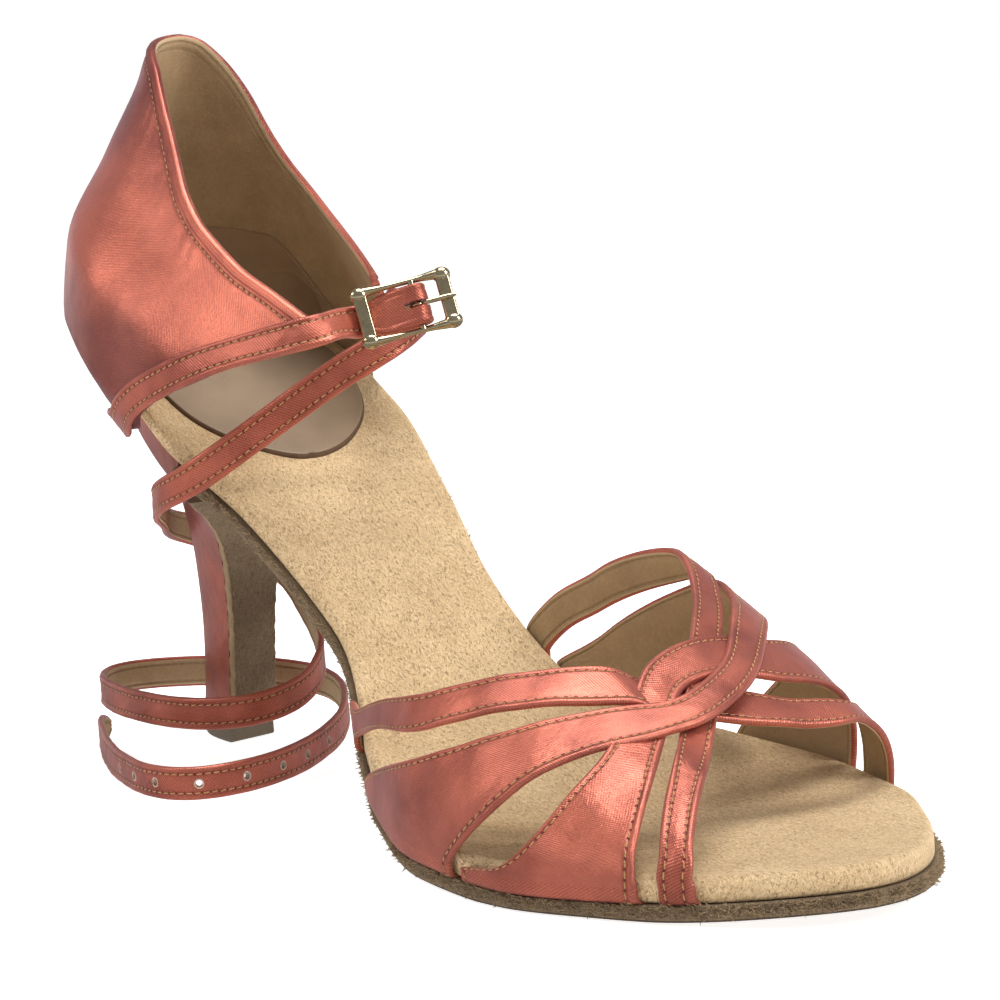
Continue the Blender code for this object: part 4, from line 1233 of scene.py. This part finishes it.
def add_block(shape, matrix, soft):
    """Block with rounded edges."""
    made = bmesh.ops.create_cube(shape, size=1.0, matrix=matrix)["verts"]
    edges = list({edge for vert in made for edge in vert.link_edges})
    bmesh.ops.bevel(shape, geom=edges, offset=soft, affect="EDGES", segments=4, profile=0.5, material=-1)


def ring_edges(ring):
    """Edges with both their ends in a ring of vertices."""
    near = {edge for vert in ring for edge in vert.link_edges}
    return [edge for edge in near if all(vert in ring for vert in edge.verts)]


def add_rod(shape, start, end, radii, segments=20, flat=1.0):
    """Round rod between two places, its radius following the list along its run."""
    _, _, out = buckle_axes()
    a, b = (buckle_place(*spot, 1, 1, 1).translation for spot in (start, end))
    run = (b - a).normalized()
    side = run.cross(out).normalized()
    lift = side.cross(run)
    rings = []
    for k, radius in enumerate(radii):
        centre = a.lerp(b, k / (len(radii) - 1))
        axes = Matrix((side, lift, side.cross(lift))).transposed().to_4x4()
        place = Matrix.Translation(centre) @ axes @ Matrix.Diagonal((radius, radius * flat, 1.0, 1.0))
        rings.append(bmesh.ops.create_circle(shape, segments=segments, radius=1.0, matrix=place)["verts"])
    for ring, following in zip(rings, rings[1:]):
        bmesh.ops.bridge_loops(shape, edges=ring_edges(ring) + ring_edges(following))
    for ring in (rings[0], rings[-1]):
        bmesh.ops.contextual_create(shape, geom=ring)


def make_buckle_frame(finishes):
    """Two broad bars with knobbed corners, two slim rails between them and a round pin."""
    shape = bmesh.new()
    knob_size = (BAR_WIDTH + 0.9, 2.8, FRAME_THICK + 0.5)
    for bar in (LEFT_BAR, RIGHT_BAR):
        add_block(shape, buckle_place(bar, 0, 0, BAR_WIDTH, BAR_LENGTH - 1.2, FRAME_THICK), 0.34)
        for end in (-1, 1):
            knob = buckle_place(bar, end * (BAR_LENGTH / 2 - 1.2), 0.05, *knob_size)
            bmesh.ops.create_uvsphere(shape, u_segments=28, v_segments=18, radius=0.5, matrix=knob)
    flared = [0.9, 0.82, 0.7, 0.6, 0.54, 0.51, 0.5]
    for v in (-RAIL_OFFSET, RAIL_OFFSET):
        add_rod(shape, (LEFT_BAR + 0.9, v, 0.0), (RIGHT_BAR - 0.9, v, 0.0), [*flared, 0.5, *flared[::-1]])
    add_rod(shape, (0, -RAIL_OFFSET, 0), (0, RAIL_OFFSET, 0), [PIN_RADIUS] * 3, segments=24)
    finish_piece("buckle_frame_gilt", shape, finishes, "buckle_frame", 45, "frame")


def make_prong(finishes):
    """Prong: a loop round the pin and a tapering arm that rests on the far bar."""
    shape = bmesh.new()
    centre, along, _, out = (np.array(axis) for axis in (BUCKLE_CENTRE, *buckle_axes()))
    add_ring(shape, centre, along, out, PIN_RADIUS + 0.38, 0.36, around=28, section=12)
    rest = FRAME_THICK / 2 + 0.42
    radii = [0.40, 0.44, 0.45, 0.46, 0.46, 0.46, 0.46, 0.45, 0.43, 0.40, 0.34, 0.22]
    add_rod(shape, (1.1, 0, rest - 0.15), (RIGHT_BAR + 1.5, 0, rest), radii, segments=16, flat=0.8)
    finish_piece("buckle_prong_gilt", shape, finishes, "buckle_prong", 50, "prong")


# ---------------------------------------------------------------- finishes


class Value:
    """A number that varies over a surface; sums and products add their own Math nodes."""

    def __init__(self, finish, socket):
        self.finish = finish
        self.socket = socket

    def _math(self, operation, *terms):
        return self.finish.node("ShaderNodeMath", {"operation": operation}, dict(enumerate(terms)))

    def __add__(self, other):
        return self._math("ADD", self, other)

    def __sub__(self, other):
        return self._math("SUBTRACT", self, other)

    def __rsub__(self, other):
        return self._math("SUBTRACT", other, self)

    def __mul__(self, other):
        return self._math("MULTIPLY", self, other)

    def __truediv__(self, other):
        return self._math("DIVIDE", self, other)

    __radd__ = __add__
    __rmul__ = __mul__

    def sine(self):
        return self._math("SINE", self)

    def size(self):
        return self._math("ABSOLUTE", self)

    def part(self):
        return self._math("FRACT", self)

    def least(self, other):
        return self._math("MINIMUM", self, other)

    def most(self, other):
        return self._math("MAXIMUM", self, other)

    def share(self):
        """Keep it from 0 to 1."""
        return self.most(0.0).least(1.0)

    def step(self, low, high):
        """Soft mask: 0 below low, 1 above high, or the other way round where low is the larger."""
        rising = low < high
        settings = {"interpolation_type": "SMOOTHSTEP", "clamp": True}
        ends = {"From Min": min(low, high), "From Max": max(low, high)}
        ends["To Min"], ends["To Max"] = (0.0, 1.0) if rising else (1.0, 0.0)
        return self.finish.node("ShaderNodeMapRange", settings, {"Value": self, **ends})


class Finish:
    """A Principled material and the nodes that feed it."""

    def __init__(self, name, roughness, metallic=0.0, **constants):
        self.material = bpy.data.materials.new(name)
        self.material.use_nodes = True
        self.nodes = self.material.node_tree.nodes
        self.links = self.material.node_tree.links
        self.surface = self.nodes["Principled BSDF"]
        self.set(Roughness=roughness, Metallic=metallic)
        for socket, value in constants.items():
            self.surface.inputs[socket.replace("_", " ")].default_value = value

    def node(self, kind, settings, values, output=0):
        made = self.nodes.new(kind)
        for key, value in settings.items():
            setattr(made, key, value)
        for key, value in values.items():
            if isinstance(value, Value):
                self.links.new(value.socket, made.inputs[key])
            else:
                made.inputs[key].default_value = value
        return Value(self, made.outputs[output])

    def set(self, **sockets):
        for name, value in sockets.items():
            socket = self.surface.inputs[name.replace("_", " ")]
            if isinstance(value, Value):
                self.links.new(value.socket, socket)
            else:
                socket.default_value = value

    def place(self):
        """Place on the object, in mm."""
        here = self.node("ShaderNodeTexCoord", {}, {}, "Object")
        return self.node("ShaderNodeVectorMath", {"operation": "SCALE"}, {0: here, "Scale": 1000.0})

    def cloth(self, name="cloth"):
        """Place on the cloth, in mm, as a vector."""
        here = self.node("ShaderNodeUVMap", {"uv_map": name}, {})
        return self.node("ShaderNodeVectorMath", {"operation": "SCALE"}, {0: here, "Scale": 100.0})

    def axes(self, vector):
        made = self.nodes.new("ShaderNodeSeparateXYZ")
        self.links.new(vector.socket, made.inputs[0])
        return [Value(self, made.outputs[k]) for k in range(3)]

    def stretch(self, vector, x, y, z):
        return self.node("ShaderNodeVectorMath", {"operation": "MULTIPLY"}, {0: vector, 1: (x, y, z)})

    def noise(self, vector, scale, detail=3.0, roughness=0.55):
        return self.node(
            "ShaderNodeTexNoise",
            {"noise_dimensions": "3D"},
            {"Vector": vector, "Scale": scale, "Detail": detail, "Roughness": roughness},
        )

    def mix(self, share, a, b):
        """Blend of two colours."""
        return self.node("ShaderNodeMix", {"data_type": "RGBA"}, {0: share, 6: a, 7: b}, 2)

    def bump(self, height, depth):
        """Relief whose height of 1 stands for depth in mm."""
        values = {"Height": height, "Distance": depth * MM, "Strength": 1.0}
        self.set(Normal=self.node("ShaderNodeBump", {}, values))


def colour(red, green, blue):
    """Scene colour of a shade given as 0 to 255 display values."""
    linear = []
    for value in (red, green, blue):
        share = value / 255
        linear.append(share / 12.92 if share <= 0.04045 else ((share + 0.055) / 1.055) ** 2.4)
    return (*linear, 1.0)


def satin_finish(name, turn=0.62, deep=(132, 64, 51), lit=(210, 116, 92), painted_light_band=False, woven=1.0):
    """Coral satin: fine twill lines, slubs, a stitch furrow and needle holes darkened with painted shade, a
    purplish sheen; optionally a painted highlight band across the middle and painted shade at the back.
    """
    finish = Finish(
        name, 0.32, 0.6,
        Sheen_Weight=0.10,
        Sheen_Roughness=0.45,
        Sheen_Tint=colour(196, 160, 205),
        Specular_IOR_Level=0.6,
    )
    cloth = finish.cloth()
    run, across, _ = finish.axes(cloth)
    drift = finish.noise(cloth, 0.35, 2.0)
    twill = (run * (math.cos(turn) * 14.5) + across * (math.sin(turn) * 14.5) + drift * 1.6).sine()
    rib = (run * (-math.sin(turn) * 17.0) + across * (math.cos(turn) * 17.0)).sine()
    slub = finish.noise(finish.stretch(cloth, 0.6, 7.0, 1.0), 1.0, 3.0, 0.6)
    fleck = finish.noise(finish.stretch(cloth, 2.4, 2.4, 1.0), 1.2, 2.0, 0.7)
    place = finish.place()
    tone = finish.noise(place, 0.10, 3.0, 0.5)
    weave = (twill * 0.62 + rib * 0.22 + (slub - 0.5) * 0.5) * woven

    stitch_run, from_edge, _ = finish.axes(finish.cloth("seam"))
    row = (from_edge - STITCH_INSET).size().step(0.36, 0.12)
    between = ((stitch_run / STITCH_PITCH).part() - 0.5).size().step(0.30, 0.44)
    painted_furrow_shade = (from_edge - STITCH_INSET).size().step(0.75, 0.2)
    lighter_edge = from_edge.step(0.75, 0.1)

    shade = weave * 0.30 + (fleck - 0.5) * 0.9 + (tone - 0.5) * 1.3 + 0.5
    # Painted light: a band across the middle of the counter's wall is lightened and the wall above and below
    # it darkened, standing in for the satin's highlight; painted shade darkens the back of the heel.
    if painted_light_band:
        x, _, z = finish.axes(place)
        level = z + x * 0.38 + drift * 6.0
        band = level.step(90.0, 105.0) * level.step(128.0, 110.0)
        shade = shade + (band - 0.5) * 0.7 - x.step(-4.0, -18.0) * 0.3
    base = finish.mix(shade.share(), colour(*deep), colour(*lit))
    # Painted shade: the stitch furrow is darkened, and the needle holes between the stitches darker still.
    base = finish.mix(painted_furrow_shade * 0.22, base, colour(118, 44, 40))
    base = finish.mix(row * between * 0.7, base, colour(92, 36, 30))
    # The colour lightens within 0.75 mm of an edge.
    base = finish.mix(lighter_edge * 0.18, base, colour(226, 140, 122))
    crumple = finish.noise(place, 0.22, 3.0, 0.5)
    finish.set(Base_Color=base, Roughness=(weave * 0.04 + (fleck - 0.5) * 0.2 + 0.33).most(0.2))
    creased = crumple * (3.0 if painted_light_band else 7.0)
    finish.bump(weave * 0.42 + fleck * 0.8 + creased - row * between * 1.5, 0.045)
    return finish.material


def lining_finish(name):
    """Beige-brown suede lining, with painted shade along the sewn line inside each edge and a painted
    highlight at the edge itself.
    """
    finish = Finish(name, 0.92, Sheen_Weight=0.15, Sheen_Roughness=0.6, Sheen_Tint=colour(220, 200, 170))
    place = finish.place()
    stitch_run, from_edge, _ = finish.axes(finish.cloth("seam"))
    nap = finish.noise(place, 1.6, 5.0, 0.65)
    grain = finish.noise(place, 5.5, 3.0, 0.7)
    tone = finish.noise(place, 0.16, 3.0)
    row = (from_edge - STITCH_INSET).size().step(0.34, 0.12)
    between = ((stitch_run / STITCH_PITCH).part() - 0.5).size().step(0.10, 0.30)
    shade = (nap * 0.8 + grain * 0.5 + tone * 0.7 - 0.5).share()
    base = finish.mix(shade, colour(138, 112, 80), colour(186, 158, 120))
    # Painted shade along the sewn groove inside each edge, darker between the stitches.
    base = finish.mix(row * (between * 0.12 + 0.22), base, colour(96, 72, 48))
    # Painted highlight along the lining's edge.
    base = finish.mix(from_edge.step(0.95, 0.6) * 0.5, base, colour(205, 182, 146))
    finish.set(Base_Color=base)
    finish.bump(nap * 1.0 + grain * 0.5 - row * 0.8, 0.10)
    return finish.material


def suede_finish(name, dark, light, streak, nap_size=1.0, depth=0.16):
    """Napped suede: short brushed streaks, darker pits, broad hand marks."""
    finish = Finish(name, 0.95, Sheen_Weight=0.25, Sheen_Roughness=0.5, Sheen_Tint=colour(240, 225, 195))
    place = finish.place()
    wander = finish.noise(place, 0.22, 2.0)
    nap = finish.noise(finish.stretch(place, 0.55, 1.5, 1.0), 1.15 / nap_size, 5.0, 0.68)
    hair = finish.noise(finish.stretch(place, 0.9, 3.4, 1.4), 1.3 / nap_size, 4.0, 0.72)
    strand = finish.noise(finish.stretch(place, 0.7, 4.6, 1.4), 1.7 / nap_size, 2.0, 0.6).step(0.44, 0.33)
    pits = finish.noise(finish.stretch(place, 1.0, 2.2, 1.2), 1.15 / nap_size, 3.0, 0.6)
    tone = finish.noise(place, 0.055, 3.0)
    specks = finish.noise(finish.stretch(place, 1.0, 1.8, 1.2), 2.6 / nap_size, 3.0, 0.7)
    shade = (nap * 1.1 + hair * 0.7 + specks * 1.5 + tone * 0.8 - 1.5).share()
    base = finish.mix(shade, colour(*dark), colour(*light))
    marks = pits.step(0.42, 0.35)
    base = finish.mix(marks * 0.55, base, colour(*streak))
    base = finish.mix(strand * 0.6, base, colour(*streak))
    finish.set(Base_Color=base)
    finish.bump(nap * 1.0 + hair * 0.9 + specks * 0.9 - marks * 0.6 + wander * 0.8, depth * 1.5)
    return finish.material


def sock_finish(name, dark=(116, 96, 76), light=(146, 124, 100)):
    """Smooth sock leather with a fine grain and faint handling marks."""
    finish = Finish(name, 0.55, Specular_IOR_Level=0.4)
    place = finish.place()
    grain = finish.noise(place, 3.2, 4.0, 0.6)
    cells = {"Vector": place, "Scale": 2.4, "Randomness": 1.0}
    pores = finish.node("ShaderNodeTexVoronoi", {"feature": "F1"}, cells)
    tone = finish.noise(place, 0.10, 3.0)
    shade = (grain * 0.5 + tone * 0.9 - 0.2).share()
    finish.set(Base_Color=finish.mix(shade, colour(*dark), colour(*light)))
    finish.set(Roughness=grain * 0.2 + 0.42)
    finish.bump(grain * 0.5 + pores * 0.6, 0.03)
    return finish.material


def cut_edge_finish(name, dark, light, depth=0.12):
    """Cut edge of leather or suede: short upright fibres."""
    finish = Finish(name, 0.9)
    place = finish.place()
    fibre = finish.noise(finish.stretch(place, 1.0, 1.0, 3.0), 2.2, 4.0, 0.7)
    patch = finish.noise(place, 0.5, 2.0)
    shade = (fibre * 0.9 + patch * 0.6 - 0.35).share()
    finish.set(Base_Color=finish.mix(shade, colour(*dark), colour(*light)))
    finish.bump(fibre, depth)
    return finish.material


def tip_finish(name):
    """Hard brown plastic with scuffs."""
    finish = Finish(name, 0.45)
    place = finish.place()
    grain = finish.noise(place, 2.5, 4.0, 0.65)
    scuff = finish.noise(finish.stretch(place, 0.4, 0.4, 4.0), 1.4, 3.0, 0.6).step(0.55, 0.7)
    shade = (grain * 0.6 + scuff * 0.4 - 0.1).share()
    finish.set(Base_Color=finish.mix(shade, colour(88, 76, 58), colour(124, 110, 88)))
    finish.set(Roughness=scuff * 0.25 + grain * 0.15 + 0.36)
    finish.bump(grain, 0.03)
    return finish.material


def gilt_finish(name):
    """Polished pale gold with fine rub marks and slight tarnish."""
    finish = Finish(name, 0.14, 1.0)
    place = finish.place()
    rub = finish.noise(finish.stretch(place, 5.0, 0.6, 0.6), 2.0, 3.0, 0.6)
    tarnish = finish.noise(place, 0.8, 3.0, 0.6)
    finish.set(Base_Color=finish.mix(tarnish, colour(166, 150, 114), colour(222, 208, 176)))
    finish.set(Roughness=rub * 0.14 + tarnish * 0.08 + 0.05)
    finish.bump(rub, 0.004)
    return finish.material


def thread_finish(name):
    """Tan-gold sewing thread, two plies with a slight gloss."""
    finish = Finish(name, 0.5, Sheen_Weight=0.2)
    place = finish.place()
    x, y, z = finish.axes(place)
    ply = ((x + y + z) * 14.0).sine()
    tone = finish.noise(place, 0.7, 3.0)
    shade = (ply * 0.22 + tone * 0.8 + 0.1).share()
    finish.set(Base_Color=finish.mix(shade, colour(146, 100, 54), colour(204, 162, 98)))
    finish.bump(ply, 0.03)
    return finish.material


def floor_finish(name):
    """Pale studio floor with a faint gloss."""
    finish = Finish(name, 0.35, Specular_IOR_Level=0.25, Emission_Strength=0.82)
    finish.set(Emission_Color=(1.0, 1.0, 1.0, 1.0))
    grain = finish.noise(finish.place(), 0.02, 2.0)
    finish.set(Base_Color=finish.mix(grain, (0.93, 0.93, 0.94, 1.0), (0.96, 0.96, 0.96, 1.0)))
    finish.set(Roughness=grain * 0.1 + 0.3)
    return finish.material


# ---------------------------------------------------------------- studio

CAMERA_AZIMUTH = 59.4
CAMERA_ELEVATION = 6.9
CAMERA_ROLL = 3.6
CAMERA_DISTANCE = 459.3
CAMERA_TARGET = Vector((196.4, -55.0, 66.1))
CAMERA_LENS = 122.93

# Name, metres to the camera's right, towards it and up, size, watts
LIGHTS = (
    ("overhead", 0.10, 0.0, 0.75, (0.45, 0.45), 6.1),
    ("left_box", -0.50, 0.16, 0.42, (0.18, 0.18), 0.9),
    ("right_box", 0.65, 0.35, 0.42, (0.16, 0.4), 3.6),
)
LIGHTS_AIM = Vector((0.08, 0.0, 0.05))

# Where the surround's brightness changes, from low to high, and its values there
SURROUND = ((0.04, 0.14, 1.0, 0.28), (-0.06, -0.03, 0.36, 1.0))
FLOOR_HALF = 12.0
FLOOR_DROP = 0.0002


def camera_axes():
    """Directions to the camera's right, up and back, before it is rolled."""
    azimuth = math.radians(CAMERA_AZIMUTH)
    elevation = math.radians(CAMERA_ELEVATION)
    right = Vector((math.cos(azimuth), math.sin(azimuth), 0))
    level = math.cos(elevation)
    back = Vector((math.sin(azimuth) * level, -math.cos(azimuth) * level, math.sin(elevation)))
    return right, back.cross(right), back


def make_camera():
    """Long lens, low and to the inner side of the toe."""
    right, up, back = camera_axes()
    roll = math.radians(CAMERA_ROLL)
    axis_x = right * math.cos(roll) - up * math.sin(roll)
    axis_y = right * math.sin(roll) + up * math.cos(roll)
    lens = bpy.data.cameras.new("camera")
    lens.lens = CAMERA_LENS
    lens.sensor_width = 36.0
    lens.clip_start = 0.01
    camera = bpy.data.objects.new("camera", lens)
    turn = Matrix((axis_x, axis_y, back)).transposed().to_4x4()
    camera.matrix_world = Matrix.Translation((CAMERA_TARGET + back * CAMERA_DISTANCE) * MM) @ turn
    bpy.context.scene.collection.objects.link(camera)
    bpy.context.scene.camera = camera


def make_lights():
    """Rectangular lamps, all aimed at the same place."""
    right, _, back = camera_axes()
    for name, aside, nearer, up, size, watts in LIGHTS:
        lamp = bpy.data.lights.new(name, "AREA")
        lamp.shape = "RECTANGLE"
        lamp.size, lamp.size_y = size
        lamp.energy = watts
        item = bpy.data.objects.new(name, lamp)
        item.location = LIGHTS_AIM + right * aside + back * nearer + Vector((0, 0, up))
        item.rotation_euler = (LIGHTS_AIM - item.location).to_track_quat("-Z", "Y").to_euler()
        bpy.context.scene.collection.objects.link(item)


def make_studio():
    """Pale floor, an overhead light, a box on each side, and a surround that darkens upwards."""
    shape = bmesh.new()
    bmesh.ops.create_grid(shape, x_segments=8, y_segments=8, size=FLOOR_HALF)
    mesh = bpy.data.meshes.new("floor")
    shape.to_mesh(mesh)
    shape.free()
    mesh.materials.append(floor_finish("floor_pale"))
    floor = bpy.data.objects.new("floor", mesh)
    floor.location = (0, 0, -FLOOR_DROP)
    floor.visible_glossy = False
    bpy.context.scene.collection.objects.link(floor)

    make_lights()
    world = bpy.data.worlds.new("surround")
    world.use_nodes = True
    nodes = world.node_tree.nodes
    links = world.node_tree.links
    direction = nodes.new("ShaderNodeTexCoord")
    split = nodes.new("ShaderNodeSeparateXYZ")
    links.new(direction.outputs["Generated"], split.inputs[0])
    bands = []
    for ends in SURROUND:
        band = nodes.new("ShaderNodeMapRange")
        for socket, value in zip(("From Min", "From Max", "To Min", "To Max"), ends):
            band.inputs[socket].default_value = value
        links.new(split.outputs[2], band.inputs["Value"])
        bands.append(band)
    both = nodes.new("ShaderNodeMath")
    both.operation = "MULTIPLY"
    links.new(bands[0].outputs[0], both.inputs[0])
    links.new(bands[1].outputs[0], both.inputs[1])
    links.new(both.outputs[0], nodes["Background"].inputs["Strength"])
    nodes["Background"].inputs["Color"].default_value = (1.0, 1.0, 1.0, 1.0)
    bpy.context.scene.world = world
    bpy.context.scene.view_settings.view_transform = "Standard"


# ---------------------------------------------------------------- the shoe


def main():
    satin = satin_finish("coral_satin")
    wide_satin = satin_finish("coral_satin_vamp", turn=-0.5)
    lining = lining_finish("lining_suede")
    thread = thread_finish("gold_thread")
    insole = suede_finish("insole_tan_suede", (164, 128, 84), (242, 212, 166), (134, 96, 54))
    sole = suede_finish("sole_brown_suede", (84, 66, 46), (132, 108, 80), (62, 48, 34), 1.3, 0.22)
    cut_edge = cut_edge_finish("sole_cut_edge", (116, 96, 70), (178, 150, 114))
    sole_edge = cut_edge_finish("outsole_cut_edge", (48, 38, 28), (112, 92, 68), 0.6)
    fibre = cut_edge_finish("outsole_fibre", (58, 48, 36), (196, 168, 128), 0.02)
    sock = sock_finish("sock_beige_leather")
    cup = sock_finish("sock_brown_leather", (134, 110, 84), (164, 136, 106))
    sock_edge = cut_edge_finish("sock_cut_edge", (66, 46, 30), (110, 82, 56))
    hole_wall = cut_edge_finish("punched_wall", (150, 128, 110), (214, 196, 180))

    rows = []
    for name, strap in VAMP_STRAPS.items():
        rows += make_vamp_strap(name + "_strap", strap, [wide_satin, lining])
    sew("vamp_stitches", rows, thread)
    # The counter's satin has a painted highlight band and painted shade at the back.
    make_counter([satin_finish("coral_satin_counter", painted_light_band=True), lining], thread)
    make_buckle_strap([satin, lining], thread)
    make_ankle_strap([satin, lining], hole_wall, thread)
    make_insole([insole])
    make_outsole([sole, sole_edge])
    add_fibres(fibre)
    make_sock([sock, sock_edge])
    make_sock_cup([cup])
    make_heel([satin_finish("coral_satin_heel", woven=0.25)])
    make_heel_tip([tip_finish("tip_plastic_brown")])
    make_breast_cover([sole, cut_edge])
    gilt = gilt_finish("pale_gilt")
    make_buckle_frame([gilt])
    make_prong([gilt])
    make_studio()
    make_camera()


main()
